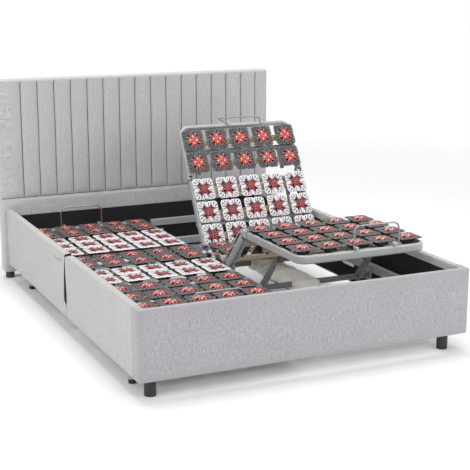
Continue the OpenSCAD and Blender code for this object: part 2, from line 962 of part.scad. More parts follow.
module leg_frame(side) {
    color(frame_colour)
        on_leg(side) {
            mirror([0, 1, 0]) {
                looped_frame(-knee_hinge[0] + 12, end_y);
                retainer_ears(retainer_x(side));
                both_sides()
                    bar_y(lift_bar_x, leg_arm - leg_tube[0] - roller_run,
                          leg_arm - leg_tube[0] + 87, cross_low - lift_bar_h / 2 - fit,
                          tube_w, lift_bar_h - fit);
            }
            ledges(leg_rows);
            outer_lugs(knee_hinge, knee_hinge[0] - 55, knee_hinge[0], tube_low + 10, tube_top);
            section_cross(upper_leg_cross_y);
            section_cross(lower_leg_cross_y);
        }
}

module hinge_pins(hinge) {
    x0 = rail_in - fit - lug_in - 1;
    x1 = rail_out + fit + lug_thick + 0.3;
    both_sides()
        union() {
            rod_x(x0, x1, hinge[0], hinge[1], pin_d / 2);
            rod_x(x1, x1 + 3, hinge[0], hinge[1], 10);
        }
}

module neck_pins(side) {
    color("gainsboro")
        on_back(side)
            hinge_pins(neck_hinge);
}

module knee_pins(side) {
    color("gainsboro")
        on_thigh(side)
            hinge_pins(knee_hinge);
}

module neck_slats(side) {
    color(slat_colour)
        on_back(side)
            slats(neck_rows, slat_half);
}

module back_slats(side) {
    color(slat_colour)
        on_back(side)
            slats(back_rows, slat_half);
}

module thigh_slats(side) {
    color(slat_colour)
        on_thigh(side)
            slats(thigh_rows, slat_half);
}

module leg_slats(side) {
    color(slat_colour)
        on_leg(side)
            slats(leg_rows, slat_half);
}

module neck_plots(side) {
    color(grey_plot)
        on_back(side)
            plots(neck_rows);
}

module back_plots(side) {
    color(white_plot)
        on_back(side)
            plots(back_rows);
}

module thigh_plots(side) {
    color(white_plot)
        on_thigh(side)
            plots(thigh_rows);
}

module leg_plots(side) {
    color(grey_plot)
        on_leg(side)
            plots(leg_rows);
}

module head_lift(side) {
    color(lift_colour)
        at_base(side)
            lift(head_tube, head_arm, head_arm_angle(back_angle(side)), side_in - fit - 1,
                 head_arm_bow);
}

module leg_lift(side) {
    color(lift_colour)
        at_base(side)
            lift(leg_tube, leg_arm, 180 - leg_arm_angle(thigh_angle(side)), side_in - fit - 1);
}

module head_retainer(side) {
    color(wire_colour)
        on_back(side)
            translate([retainer_x(side), pivot_y, pivot_z])
                rotate([-fold_angle(side), 0, 0])
                    retainer();
}

module foot_retainer(side) {
    color(wire_colour)
        on_leg(side)
            translate([retainer_x(side), -pivot_y, pivot_z])
                retainer();
}

module left_neck_frame() { neck_frame(-1); }
module left_neck_slats() { neck_slats(-1); }
module left_neck_plots() { neck_plots(-1); }
module left_back_frame() { back_frame(-1); }
module left_back_slats() { back_slats(-1); }
module left_back_plots() { back_plots(-1); }
module left_neck_pins() { neck_pins(-1); }
module left_thigh_frame() { thigh_frame(-1); }
module left_thigh_slats() { thigh_slats(-1); }
module left_thigh_plots() { thigh_plots(-1); }
module left_knee_pins() { knee_pins(-1); }
module left_leg_frame() { leg_frame(-1); }
module left_leg_slats() { leg_slats(-1); }
module left_leg_plots() { leg_plots(-1); }
module left_head_lift() { head_lift(-1); }
module left_leg_lift() { leg_lift(-1); }
module left_head_retainer() { head_retainer(-1); }
module left_foot_retainer() { foot_retainer(-1); }
module right_neck_frame() { neck_frame(1); }
module right_neck_slats() { neck_slats(1); }
module right_neck_plots() { neck_plots(1); }
module right_back_frame() { back_frame(1); }
module right_back_slats() { back_slats(1); }
module right_back_plots() { back_plots(1); }
module right_neck_pins() { neck_pins(1); }
module right_thigh_frame() { thigh_frame(1); }
module right_thigh_slats() { thigh_slats(1); }
module right_thigh_plots() { thigh_plots(1); }
module right_knee_pins() { knee_pins(1); }
module right_leg_frame() { leg_frame(1); }
module right_leg_slats() { leg_slats(1); }
module right_leg_plots() { leg_plots(1); }
module right_head_lift() { head_lift(1); }
module right_leg_lift() { leg_lift(1); }
module right_head_retainer() { head_retainer(1); }
module right_foot_retainer() { foot_retainer(1); }

headboard_panel();
headboard_cover();
headboard_feet();
head_cross_panel();
left_rail_covers();
right_rail_covers();
side_rail_boards();
foot_board_panel();
foot_board_cover();
corner_blocks();
corner_feet();
joint_plates();
headboard_brackets();
joint_bolts();
left_base_frame();
right_base_frame();
base_legs();
leg_glides();
seat_slat_rests();
seat_slats();
seat_plots();
section_pins();
left_drive_unit();
right_drive_unit();
left_neck_frame();
left_neck_slats();
left_neck_plots();
left_back_frame();
left_back_slats();
left_back_plots();
left_neck_pins();
left_thigh_frame();
left_thigh_slats();
left_thigh_plots();
left_knee_pins();
left_leg_frame();
left_leg_slats();
left_leg_plots();
left_head_lift();
left_leg_lift();
left_head_retainer();
left_foot_retainer();
right_neck_frame();
right_neck_slats();
right_neck_plots();
right_back_frame();
right_back_slats();
right_back_plots();
right_neck_pins();
right_thigh_frame();
right_thigh_slats();
right_thigh_plots();
right_knee_pins();
right_leg_frame();
right_leg_slats();
right_leg_plots();
right_head_lift();
right_leg_lift();
right_head_retainer();
right_foot_retainer();
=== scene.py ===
import json
import logging
import math
from dataclasses import dataclass, field
from enum import Enum
from typing import Callable, Iterable, Sequence

import bmesh
import bpy
from mathutils import Matrix, Vector, noise


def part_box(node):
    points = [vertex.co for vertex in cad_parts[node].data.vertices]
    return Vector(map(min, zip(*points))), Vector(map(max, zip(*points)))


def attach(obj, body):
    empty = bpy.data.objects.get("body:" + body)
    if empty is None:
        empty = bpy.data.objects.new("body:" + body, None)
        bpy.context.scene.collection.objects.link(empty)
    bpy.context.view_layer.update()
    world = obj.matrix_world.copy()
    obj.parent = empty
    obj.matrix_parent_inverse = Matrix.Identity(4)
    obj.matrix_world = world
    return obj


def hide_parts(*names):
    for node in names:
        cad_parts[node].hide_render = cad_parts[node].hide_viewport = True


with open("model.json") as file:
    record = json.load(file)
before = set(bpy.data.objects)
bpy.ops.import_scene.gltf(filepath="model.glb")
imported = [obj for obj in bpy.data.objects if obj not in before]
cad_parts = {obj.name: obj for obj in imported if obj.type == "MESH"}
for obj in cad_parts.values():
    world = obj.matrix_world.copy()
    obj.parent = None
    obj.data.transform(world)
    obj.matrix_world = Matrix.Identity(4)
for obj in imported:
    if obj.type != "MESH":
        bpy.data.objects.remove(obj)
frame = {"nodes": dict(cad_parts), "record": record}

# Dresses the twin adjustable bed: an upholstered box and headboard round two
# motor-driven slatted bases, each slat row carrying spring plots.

LOG = logging.getLogger("bed")
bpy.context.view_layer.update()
ROOT = "bed_box"

Point = tuple[float, float, float]
Colour = tuple[float, float, float]
Profile = tuple[tuple[float, float], ...]


# ---------------------------------------------------------------- node helpers


class Graph:
    """A thin wrapper that adds and links shader nodes in one node tree."""

    def __init__(self, tree: bpy.types.NodeTree) -> None:
        """Keeps the tree that nodes are added to.

        Args:
            tree: The material's or group's node tree.
        """
        self.tree = tree

    def add(self, kind: str, inputs: dict | None = None, **props: object) -> bpy.types.Node:
        """Adds a node, sets its properties and fills or links its inputs.

        Args:
            kind: The node type's identifier.
            inputs: Input name or index to a value or an output socket.
            **props: Node properties to set.

        Returns:
            The new node.
        """
        node = self.tree.nodes.new(kind)
        for name, value in props.items():
            setattr(node, name, value)
        for name, value in (inputs or {}).items():
            if isinstance(value, bpy.types.NodeSocket):
                self.tree.links.new(value, node.inputs[name])
            else:
                node.inputs[name].default_value = value
        return node

    def math(self, operation: str, *values: object) -> bpy.types.NodeSocket:
        """Adds a Math node and returns its output socket."""
        node = self.add("ShaderNodeMath", dict(enumerate(values)), operation=operation)
        return node.outputs[0]

    def ramp(self, factor: bpy.types.NodeSocket, low: float, high: float) -> bpy.types.NodeSocket:
        """Stretches a factor between two limits to 0..1."""
        node = self.add("ShaderNodeMapRange", {"Value": factor, "From Min": low, "From Max": high})
        return node.outputs["Result"]

    def blend(self, factor: object, first: object, second: object,
              mode: str = "MIX") -> bpy.types.NodeSocket:
        """Mixes two colours.

        Args:
            factor: How much of the second colour shows, a value or a socket.
            first: The first colour, a value or a socket.
            second: The second colour, a value or a socket.
            mode: The Mix node's blend type.

        Returns:
            The result's socket.
        """
        node = self.add("ShaderNodeMix", data_type="RGBA", blend_type=mode)
        for socket, value in ((node.inputs[0], factor), (node.inputs[6], first),
                              (node.inputs[7], second)):
            if isinstance(value, bpy.types.NodeSocket):
                self.tree.links.new(value, socket)
            else:
                socket.default_value = value
        return node.outputs[2]

    def noise(self, vector: bpy.types.NodeSocket, scale: float, detail: float = 3.0,
              rough: float = 0.5) -> bpy.types.NodeSocket:
        """Adds a noise texture.

        Args:
            vector: The place it is read at.
            scale: Its scale.
            detail: Its detail.
            rough: Its roughness.

        Returns:
            The texture's factor.
        """
        node = self.add("ShaderNodeTexNoise", {"Vector": vector, "Scale": scale,
                                               "Detail": detail, "Roughness": rough})
        return node.outputs["Fac"]

    def stretched(self, vector: bpy.types.NodeSocket, factors: Point) -> bpy.types.NodeSocket:
        """Multiplies a vector by one factor an axis."""
        node = self.add("ShaderNodeVectorMath", {0: vector, 1: factors}, operation="MULTIPLY")
        return node.outputs[0]


def new_group(name: str, inputs: Sequence[tuple[str, str, object]],
              outputs: Sequence[tuple[str, str]]) -> tuple[Graph, bpy.types.Node, bpy.types.Node]:
    """Starts a shader node group.

    Args:
        name: The group's name.
        inputs: (name, socket type, default) of each input.
        outputs: (name, socket type) of each output.

    Returns:
        The group's graph, its input node and its output node.
    """
    tree = bpy.data.node_groups.new(name, "ShaderNodeTree")
    for label, kind, default in inputs:
        socket = tree.interface.new_socket(label, in_out="INPUT", socket_type=kind)
        socket.default_value = default
    for label, kind in outputs:
        tree.interface.new_socket(label, in_out="OUTPUT", socket_type=kind)
    graph = Graph(tree)
    return graph, graph.add("NodeGroupInput"), graph.add("NodeGroupOutput")


FLOAT, COLOUR = "NodeSocketFloat", "NodeSocketColor"


def rgba(colour: Colour) -> tuple[float, float, float, float]:
    """Adds full opacity to a colour."""
    return (*colour, 1.0)


class Groups:
    """The shader node groups that the finishes share, each built once."""

    _made: dict[str, bpy.types.NodeTree] = {}

    @classmethod
    def get(cls, name: str) -> bpy.types.NodeTree:
        """Finds a group, building it on first use.

        Args:
            name: The group's name.

        Returns:
            The group's node tree.
        """
        if name not in cls._made:
            cls._made[name] = getattr(cls, "_" + name)()
        return cls._made[name]

    @staticmethod
    def _cloth() -> bpy.types.NodeTree:
        """A plain weave with heathered yarn, laid along each face's own directions.

        Returns:
            The group's node tree.
        """
        g, src, out = new_group(
            "cloth",
            [("Light", COLOUR, (1, 1, 1, 1)), ("Dark", COLOUR, (0, 0, 0, 1)),
             ("Heather", FLOAT, 0.5), ("Pitch", FLOAT, 0.004)],
            [("Color", COLOUR), ("Height", FLOAT), ("Roughness", FLOAT)])
        place = g.add("ShaderNodeTexCoord").outputs["Object"]
        axes = g.add("ShaderNodeSeparateXYZ", {0: place}).outputs
        facing = g.add("ShaderNodeSeparateXYZ",
                       {0: g.add("ShaderNodeTexCoord").outputs["Normal"]}).outputs
        side = g.math("ABSOLUTE", facing[0])
        up = g.math("ABSOLUTE", facing[2])
        across = g.math("ADD", axes[0], g.math("MULTIPLY", axes[1], side))
        along = g.math("ADD", axes[2], g.math("MULTIPLY", axes[1], up))
        cloth = g.add("ShaderNodeCombineXYZ", {0: across, 1: along, 2: 0.0}).outputs[0]
        streak = g.noise(g.stretched(cloth, (230.0, 34.0, 1.0)), 1.0, 4.0, 0.65)
        cross = g.noise(g.stretched(cloth, (60.0, 260.0, 1.0)), 1.0, 2.0, 0.6)
        cloud = g.noise(cloth, 5.0, 3.0)
        mottle = g.noise(g.stretched(cloth, (120.0, 80.0, 1.0)), 1.0, 3.0, 0.7)
        turn = g.math("DIVIDE", math.pi, src.outputs["Pitch"])
        warp = g.math("ABSOLUTE", g.math("SINE", g.math("MULTIPLY", across, turn)))
        weft = g.math("ABSOLUTE", g.math("SINE", g.math("MULTIPLY", along, turn)))
        weave = g.math("MULTIPLY", warp, weft)
        yarn = g.math("ADD", g.math("MULTIPLY", streak, 0.65), g.math("MULTIPLY", cross, 0.35))
        tone = g.ramp(yarn, 0.34, 0.66)
        mixed = g.math("MULTIPLY", tone, src.outputs["Heather"])
        mixed = g.math("ADD", mixed, g.math("MULTIPLY", g.ramp(cloud, 0.3, 0.7), 0.10))
        mixed = g.math("ADD", mixed, g.math("MULTIPLY", g.math("SUBTRACT", mottle, 0.5), 1.5))
        mixed = g.math("MAXIMUM", mixed, 0.0)
        shade = g.blend(mixed, src.outputs["Light"], src.outputs["Dark"])
        g.tree.links.new(shade, out.inputs["Color"])
        height = g.math("ADD", g.math("MULTIPLY", weave, 0.7), g.math("MULTIPLY", yarn, 0.6))
        g.tree.links.new(height, out.inputs["Height"])
        rough = g.add("ShaderNodeMapRange", {"Value": yarn, "To Min": 0.82, "To Max": 0.98})
        g.tree.links.new(rough.outputs["Result"], out.inputs["Roughness"])
        return g.tree

    @staticmethod
    def _paint() -> bpy.types.NodeTree:
        """Satin powder coat: faint orange peel, slight tone changes and painted light on upward
        faces.

        Returns:
            The group's node tree.
        """
        g, src, out = new_group(
            "paint",
            [("Tone", COLOUR, (0.5, 0.5, 0.5, 1)), ("TopLight", COLOUR, (0.6, 0.6, 0.6, 1)),
             ("Gloss", FLOAT, 0.4)],
            [("Color", COLOUR), ("Height", FLOAT), ("Roughness", FLOAT)])
        place = g.add("ShaderNodeTexCoord").outputs["Object"]
        cloud = g.noise(place, 9.0, 4.0, 0.6)
        peel = g.noise(place, 700.0, 2.0)
        up = g.add("ShaderNodeSeparateXYZ",
                   {0: g.add("ShaderNodeNewGeometry").outputs["Normal"]}).outputs[2]
        # Painted light from above: upward faces mix toward a lighter tone in cloudy patches.
        lit_top_mask = g.math("MULTIPLY", g.ramp(up, 0.4, 1.0), g.ramp(cloud, 0.35, 0.75))
        lit_top_mix = g.math("MULTIPLY", lit_top_mask, 0.22)
        g.tree.links.new(g.blend(lit_top_mix, src.outputs["Tone"], src.outputs["TopLight"]),
                         out.inputs["Color"])
        g.tree.links.new(peel, out.inputs["Height"])
        spread = g.math("MULTIPLY", g.math("SUBTRACT", cloud, 0.5), 0.25)
        g.tree.links.new(g.math("ADD", src.outputs["Gloss"], spread), out.inputs["Roughness"])
        return g.tree

    @staticmethod
    def _moulding() -> bpy.types.NodeTree:
        """Injection-moulded plastic: fine spark texture and faint flow clouds.

        Returns:
            The group's node tree.
        """
        g, src, out = new_group(
            "moulding",
            [("Tone", COLOUR, (0.5, 0.5, 0.5, 1)), ("Grain", FLOAT, 900.0),
             ("Gloss", FLOAT, 0.4)],
            [("Color", COLOUR), ("Height", FLOAT), ("Roughness", FLOAT)])
        place = g.add("ShaderNodeTexCoord").outputs["Object"]
        cloud = g.noise(place, 26.0, 3.0)
        fine = g.add("ShaderNodeTexNoise", {"Vector": place, "Scale": src.outputs["Grain"],
                                            "Detail": 2.0}).outputs["Fac"]
        lift = g.add("ShaderNodeMapRange", {"Value": cloud, "To Min": 0.86, "To Max": 1.12})
        tone = g.add("ShaderNodeVectorMath", {0: src.outputs["Tone"]}, operation="SCALE")
        g.tree.links.new(lift.outputs["Result"], tone.inputs["Scale"])
        g.tree.links.new(tone.outputs[0], out.inputs["Color"])
        g.tree.links.new(fine, out.inputs["Height"])
        spread = g.math("MULTIPLY", g.math("SUBTRACT", cloud, 0.5), 0.2)
        g.tree.links.new(g.math("ADD", src.outputs["Gloss"], spread), out.inputs["Roughness"])
        return g.tree

    @staticmethod
    def _beech() -> bpy.types.NodeTree:
        """Beech grain along x, with short flecks and laminations across the thickness.

        Returns:
            The group's node tree.
        """
        g, src, out = new_group(
            "beech",
            [("Light", COLOUR, (0.8, 0.6, 0.4, 1)), ("Dark", COLOUR, (0.5, 0.3, 0.2, 1)),
             ("Spread", FLOAT, 1.0)],
            [("Color", COLOUR), ("Height", FLOAT), ("Roughness", FLOAT)])
        place = g.add("ShaderNodeTexCoord").outputs["Object"]
        wide = g.noise(g.stretched(place, (2.2, 70.0, 70.0)), 1.0, 4.0, 0.6)
        fleck = g.noise(g.stretched(place, (55.0, 620.0, 620.0)), 1.0, 2.0, 0.5)
        board = g.noise(g.stretched(place, (0.6, 9.0, 9.0)), 1.0, 1.0)
        grain = g.math("ADD", g.math("MULTIPLY", wide, 0.6), g.math("MULTIPLY", fleck, 0.4))
        grain = g.math("ADD", grain, g.math("MULTIPLY", g.math("SUBTRACT", board, 0.5), 0.7))
        mixed = g.math("MULTIPLY", g.ramp(grain, 0.34, 0.68), src.outputs["Spread"])
        g.tree.links.new(g.blend(mixed, src.outputs["Light"], src.outputs["Dark"]),
                         out.inputs["Color"])
        g.tree.links.new(fleck, out.inputs["Height"])
        rough = g.add("ShaderNodeMapRange", {"Value": wide, "To Min": 0.38, "To Max": 0.6})
        g.tree.links.new(rough.outputs["Result"], out.inputs["Roughness"])
        return g.tree


# -------------------------------------------------------------------- finishes


@dataclass(frozen=True)
class Finish:
    """One finish: a Principled shader fed by a shared node group.

    Attributes:
        name: The material's name.
        group: Which shared node group feeds the shader.
        values: The group's input values.
        bump: Height of the surface relief, in metres.
        metallic: The shader's metallic value.
        sheen: The shader's sheen weight.
        coat: The shader's clear coat weight.
    """

    name: str
    group: str
    values: tuple[tuple[str, object], ...]
    bump: float = 0.0002
    metallic: float = 0.0
    sheen: float = 0.0
    coat: float = 0.0

    def material(self) -> bpy.types.Material:
        """Finds the finish's material, building it on first use.

        Returns:
            The material.
        """
        name = f"{self.name}_finish"
        found = bpy.data.materials.get(name)
        if found:
            return found
        made = bpy.data.materials.new(name)
        made.use_nodes = True
        g = Graph(made.node_tree)
        shader = next(n for n in g.tree.nodes if n.type == "BSDF_PRINCIPLED")
        source = g.add("ShaderNodeGroup", node_tree=Groups.get(self.group))
        for label, value in self.values:
            source.inputs[label].default_value = value
        g.tree.links.new(source.outputs["Color"], shader.inputs["Base Color"])
        g.tree.links.new(source.outputs["Roughness"], shader.inputs["Roughness"])
        relief = g.add("ShaderNodeBump", {"Height": source.outputs["Height"],
                                          "Strength": 0.6, "Distance": self.bump})
        g.tree.links.new(relief.outputs[0], shader.inputs["Normal"])
        shader.inputs["Metallic"].default_value = self.metallic
        shader.inputs["Sheen Weight"].default_value = self.sheen
        shader.inputs["Sheen Roughness"].default_value = 0.5
        shader.inputs["Coat Weight"].default_value = self.coat
        shader.inputs["Coat Roughness"].default_value = 0.15
        return made


def cloth(name: str, light: Colour, dark: Colour, heather: float, pitch: float = 0.004,
          bump: float = 0.0007, sheen: float = 0.25) -> Finish:
    """Describes a woven fabric finish.

    Args:
        name: The finish's name.
        light: The light yarn's colour.
        dark: The dark yarn's colour.
        heather: How strongly the two yarns mix.
        pitch: The distance between threads, in metres.
        bump: Height of the weave, in metres.
        sheen: The fabric's sheen.

    Returns:
        The finish.
    """
    return Finish(name, "cloth", (("Light", rgba(light)), ("Dark", rgba(dark)),
                                  ("Heather", heather), ("Pitch", pitch)), bump, sheen=sheen)


def paint(name: str, tone: Colour, gloss: float, metallic: float = 0.0,
          coat: float = 0.0) -> Finish:
    """Describes a painted or plated metal finish.

    Args:
        name: The finish's name.
        tone: The metal's colour.
        gloss: Its mean roughness.
        metallic: 1 for bare or plated metal, 0 for paint.
        coat: The clear coat's weight.

    Returns:
        The finish.
    """
    # The lighter tone that upward faces take is painted light from above.
    top_light = tuple(min(1.0, 0.35 + 0.6 * c) for c in tone)
    return Finish(name, "paint", (("Tone", rgba(tone)), ("TopLight", rgba(top_light)),
                                  ("Gloss", gloss)), 0.00006, metallic=metallic, coat=coat)


def moulding(name: str, tone: Colour, gloss: float, grain: float = 900.0,
             coat: float = 0.0) -> Finish:
    """Describes a moulded plastic finish.

    Args:
        name: The finish's name.
        tone: The plastic's colour.
        gloss: Its mean roughness.
        grain: The scale of its spark texture.
        coat: The clear coat's weight.

    Returns:
        The finish.
    """
    return Finish(name, "moulding", (("Tone", rgba(tone)), ("Grain", grain),
                                     ("Gloss", gloss)), 0.00008, coat=coat)


def beech(name: str, light: Colour, dark: Colour) -> Finish:
    """Describes a lacquered wood finish.

    Args:
        name: The finish's name.
        light: The early wood's colour.
        dark: The late wood's colour.

    Returns:
        The finish.
    """
    return Finish(name, "beech", (("Light", rgba(light)), ("Dark", rgba(dark)),
                                  ("Spread", 0.9)), 0.00012, coat=0.15)


class Finishes(Enum):
    """Every finish on the bed."""

    HEADBOARD = cloth("headboard_fabric", (0.605, 0.609, 0.606), (0.290, 0.292, 0.291), 0.62)
    # The seam finish is painted shade: a near-black cloth for the bottoms of the seams.
    HEADBOARD_SEAM = cloth("headboard_seam_shade", (0.10, 0.098, 0.095), (0.06, 0.058, 0.056), 0.5)
    # The rails and the foot board share one box fabric: the rails' lighter copy is painted light,
    # the foot board's darker lilac copy painted shade.
    RAIL = cloth("rail_fabric_lit", (0.535, 0.535, 0.530), (0.296, 0.296, 0.293), 0.6)
    FOOT = cloth("foot_board_fabric_shaded", (0.45, 0.438, 0.458), (0.24, 0.233, 0.248), 0.62)
    # The black lining also covers the rails' end faces at the split, where it is painted shade.
    LINING = cloth("black_lining", (0.008, 0.0065, 0.008), (0.004, 0.0035, 0.004), 0.6,
                   0.006, 0.0004, 0.01)
    BACKING = cloth("headboard_backing", (0.05, 0.05, 0.055), (0.03, 0.03, 0.033), 0.5,
                    0.006, 0.0004, 0.05)
    BLOCK = beech("block_wood", (0.50, 0.36, 0.21), (0.34, 0.22, 0.12))
    SLAT = beech("slat_wood", (0.88, 0.66, 0.44), (0.70, 0.48, 0.30))
    FEET = moulding("feet_black", (0.022, 0.022, 0.026), 0.45)
    BLACK = moulding("black_moulding", (0.016, 0.016, 0.018), 0.34, 900.0, 0.15)
    GREY_PLATE = moulding("grey_plate", (0.088, 0.096, 0.096), 0.46, 700.0)
    WHITE_PLATE = moulding("white_plate", (0.72, 0.72, 0.74), 0.42, 700.0)
    RED_SPRING = moulding("red_spring", (0.52, 0.040, 0.040), 0.20, 600.0, 0.5)
    DARK_SPRING = moulding("dark_red_spring", (0.34, 0.030, 0.034), 0.24, 600.0, 0.4)
    # Painted highlight: cream stands in for glints on the glossy springs of the grey plots.
    CREAM_CLIP = moulding("cream_highlight", (0.80, 0.50, 0.36), 0.22, 600.0, 0.4)
    ZINC = paint("zinc", (0.62, 0.62, 0.63), 0.30, 1.0)
    WIRE = paint("retainer_wire", (0.31, 0.298, 0.308), 0.38, 1.0)
    FIXED_FRAME = paint("fixed_frame_paint", (0.37, 0.375, 0.395), 0.30)
    SECTION_FRAME = paint("section_frame_paint", (0.41, 0.415, 0.43), 0.26, 0.0, 0.5)
    LIFT = paint("lift_paint", (0.16, 0.16, 0.18), 0.30)
    HOUSING = moulding("drive_housing", (0.80, 0.80, 0.74), 0.36, 300.0, 0.2)

    @property
    def material(self) -> bpy.types.Material:
        """The finish's material."""
        return self.value.material()


# ----------------------------------------------------------------- mesh makers


@dataclass
class Shell:
    """Points and faces collected for one object, each face with a finish index."""

    points: list[Vector] = field(default_factory=list)
    faces: list[tuple[int, ...]] = field(default_factory=list)
    marks: list[int] = field(default_factory=list)

    def add(self, points: Iterable[Sequence[float]], faces: Iterable[Sequence[int]],
            mark: int = 0, place: Matrix | None = None) -> None:
        """Adds points and faces.

        Args:
            points: The points.
            faces: Faces as indices into those points.
            mark: The faces' finish index.
            place: A transform for the points.
        """
        start = len(self.points)
        spots = [Vector(p) for p in points]
        self.points += [place @ p for p in spots] if place else spots
        for face in faces:
            self.faces.append(tuple(start + i for i in face))
            self.marks.append(mark)

    def merge(self, other: "Shell", place: Matrix | None = None) -> None:
        """Adds a copy of another shell.

        Args:
            other: The shell that is copied.
            place: A transform for the copy.
        """
        start = len(self.points)
        self.points += [place @ p for p in other.points] if place else other.points
        self.faces += [tuple(start + i for i in face) for face in other.faces]
        self.marks += other.marks

    def grid(self, rows: Sequence[Sequence[Sequence[float]]], closed: bool = False,
             mark: int = 0, skip: Callable[[int, int], bool] | None = None) -> None:
        """Joins rows of points into quads.

        Args:
            rows: Rows of equal length.
            closed: Whether each row runs round to its start.
            mark: The faces' finish index.
            skip: Says for (row, column) whether that quad is left out.
        """
        wide = len(rows[0])
        faces = []
        for r in range(len(rows) - 1):
            for c in range(wide if closed else wide - 1):
                if skip and skip(r, c):
                    continue
                d = (c + 1) % wide
                faces.append((r * wide + c, r * wide + d, (r + 1) * wide + d, (r + 1) * wide + c))
        self.add([p for row in rows for p in row], faces, mark)

    def thickened(self, depth: float) -> "Shell":
        """Turns the open shell into a closed skin.

        Args:
            depth: How thick the skin is, below the shell's surface.

        Returns:
            The closed skin.
        """
        mesh = bpy.data.meshes.new("skin")
        mesh.from_pydata([tuple(p) for p in self.points], [], self.faces)
        work = bmesh.new()
        work.from_mesh(mesh)
        bmesh.ops.remove_doubles(work, verts=work.verts, dist=1e-6)
        loose = [v for v in work.verts if not v.link_faces]
        bmesh.ops.delete(work, geom=loose, context="VERTS")
        bmesh.ops.recalc_face_normals(work, faces=work.faces)
        bmesh.ops.solidify(work, geom=work.faces, thickness=depth)
        work.verts.index_update()
        made = Shell([v.co.copy() for v in work.verts],
                     [tuple(v.index for v in f.verts) for f in work.faces])
        made.marks = [self.marks[0]] * len(made.faces)
        work.free()
        bpy.data.meshes.remove(mesh)
        return made

    def build(self, name: str, finishes: Sequence[Finishes], smooth: float = 40.0,
              weld: bool = True) -> bpy.types.Object:
        """Makes the object.

        Args:
            name: The object's name.
            finishes: The finishes its faces' indices point at.
            smooth: Edges sharper than this angle stay sharp, in degrees.
            weld: Whether points that coincide are joined.

        Returns:
            The new object, linked to the scene.
        """
        mesh = bpy.data.meshes.new(name)
        mesh.from_pydata([tuple(p) for p in self.points], [], self.faces)
        mesh.polygons.foreach_set("material_index", self.marks)
        for finish in finishes:
            mesh.materials.append(finish.material)
        work = bmesh.new()
        work.from_mesh(mesh)
        if weld:
            bmesh.ops.remove_doubles(work, verts=work.verts, dist=1e-6)
        bmesh.ops.recalc_face_normals(work, faces=work.faces)
        limit = math.radians(smooth)
        for face in work.faces:
            face.smooth = True
        for edge in work.edges:
            if len(edge.link_faces) != 2 or edge.calc_face_angle(0.0) > limit:
                edge.smooth = False
        work.to_mesh(mesh)
        work.free()
        made = bpy.data.objects.new(name, mesh)
        bpy.context.scene.collection.objects.link(made)
        return made


def spread(low: float, high: float, step: float, rim: float = 0.0) -> list[float]:
    """Lists positions from one end to the other, about a step apart.

    Args:
        low: The first end.
        high: The last end.
        step: The distance between positions, below 0 to count down.
        rim: The width at each end where positions lie closer.

    Returns:
        The positions, both ends with them.
    """
    inner_low, inner_high = low + rim, high - rim
    count = max(1, round(abs((inner_high - inner_low) / step)))
    inner = [inner_low + (inner_high - inner_low) * i / count for i in range(count + 1)]
    if not rim:
        return inner
    cuts = [0.0, 0.3, 0.65]
    return ([low + rim * c for c in cuts] + inner + [high - rim * c for c in reversed(cuts)])


def soft_box(xs: Sequence[float], ys: Sequence[float], zs: Sequence[float],
             radius: float) -> Shell:
    """A box with rounded edges, its faces cut along the given positions.

    Args:
        xs: Positions along x, lowest first.
        ys: Positions along y.
        zs: Positions along z.
        radius: The edges' radius.

    Returns:
        A closed shell.
    """
    lists = (xs, ys, zs)
    low = [axis[0] + radius for axis in lists]
    high = [axis[-1] - radius for axis in lists]
    made = Shell()
    index: dict[tuple[int, int, int], int] = {}

    def corner(key: tuple[int, int, int]) -> int:
        """Finds a surface point's index, rounding the point on first use.

        Args:
            key: The point's position number on each axis.

        Returns:
            Its index in the shell.
        """
        if key not in index:
            spot = Vector([lists[a][key[a]] for a in range(3)])
            core = Vector([min(max(spot[a], low[a]), high[a]) for a in range(3)])
            out = spot - core
            if out.length > 1e-9:
                spot = core + out.normalized() * radius
            index[key] = len(made.points)
            made.points.append(spot)
        return index[key]

    for axis in range(3):
        u, v = [a for a in range(3) if a != axis]
        for end in (0, len(lists[axis]) - 1):
            for i in range(len(lists[u]) - 1):
                for j in range(len(lists[v]) - 1):
                    quad = []
                    for du, dv in ((0, 0), (1, 0), (1, 1), (0, 1)):
                        key = [0, 0, 0]
                        key[axis], key[u], key[v] = end, i + du, j + dv
                        quad.append(corner(tuple(key)))
                    made.faces.append(tuple(quad))
                    made.marks.append(0)
    return made


def plain_box(low: Sequence[float], high: Sequence[float], radius: float = 0.001,
              mark: int = 0) -> Shell:
    """Makes a small box with softly broken edges.

    Args:
        low: Its lowest corner.
        high: Its highest corner.
        radius: The edges' radius.
        mark: The faces' finish index.

    Returns:
        A closed shell.
    """
    made = soft_box(*[[low[a], low[a] + radius, high[a] - radius, high[a]] for a in range(3)],
                    radius)
    made.marks = [mark] * len(made.faces)
    return made


def lathe(profile: Sequence[tuple[float, float]], turns: int, mark: int = 0) -> Shell:
    """Spins a profile round the z axis.

    Args:
        profile: (radius, height) points.
        turns: How many points go round.
        mark: The faces' finish index.

    Returns:
        A shell, open at its ends.
    """
    made = Shell()
    rows = []
    for radius, height in profile:
        rows.append([(radius * math.cos(2 * math.pi * k / turns),
                      radius * math.sin(2 * math.pi * k / turns), height)
                     for k in range(turns)])
    made.grid(rows, closed=True, mark=mark)
    return made


def keep(piece: bpy.types.Object, body: str, slot: str, *nodes: str) -> bpy.types.Object:
    """Puts a piece on its body.

    Args:
        piece: The piece.
        body: The body that it rides on.
        slot: Its material slot in the record; not used.
        *nodes: The nodes that it stands for.

    Returns:
        The piece.
    """
    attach(piece, body)
    if nodes:
        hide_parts(*nodes)
    LOG.info("%s rides on %s", piece.name, body)
    return piece


def dress(node: str, finish: Finishes) -> None:
    """Gives a carried-over solid its finish.

    Args:
        node: The solid's node.
        finish: Its finish.
    """
    mesh = frame["nodes"][node].data
    mesh.materials.clear()
    mesh.materials.append(finish.material)
    LOG.info("%s is finished in %s", node, finish.value.name)


# ------------------------------------------------------------ where things are


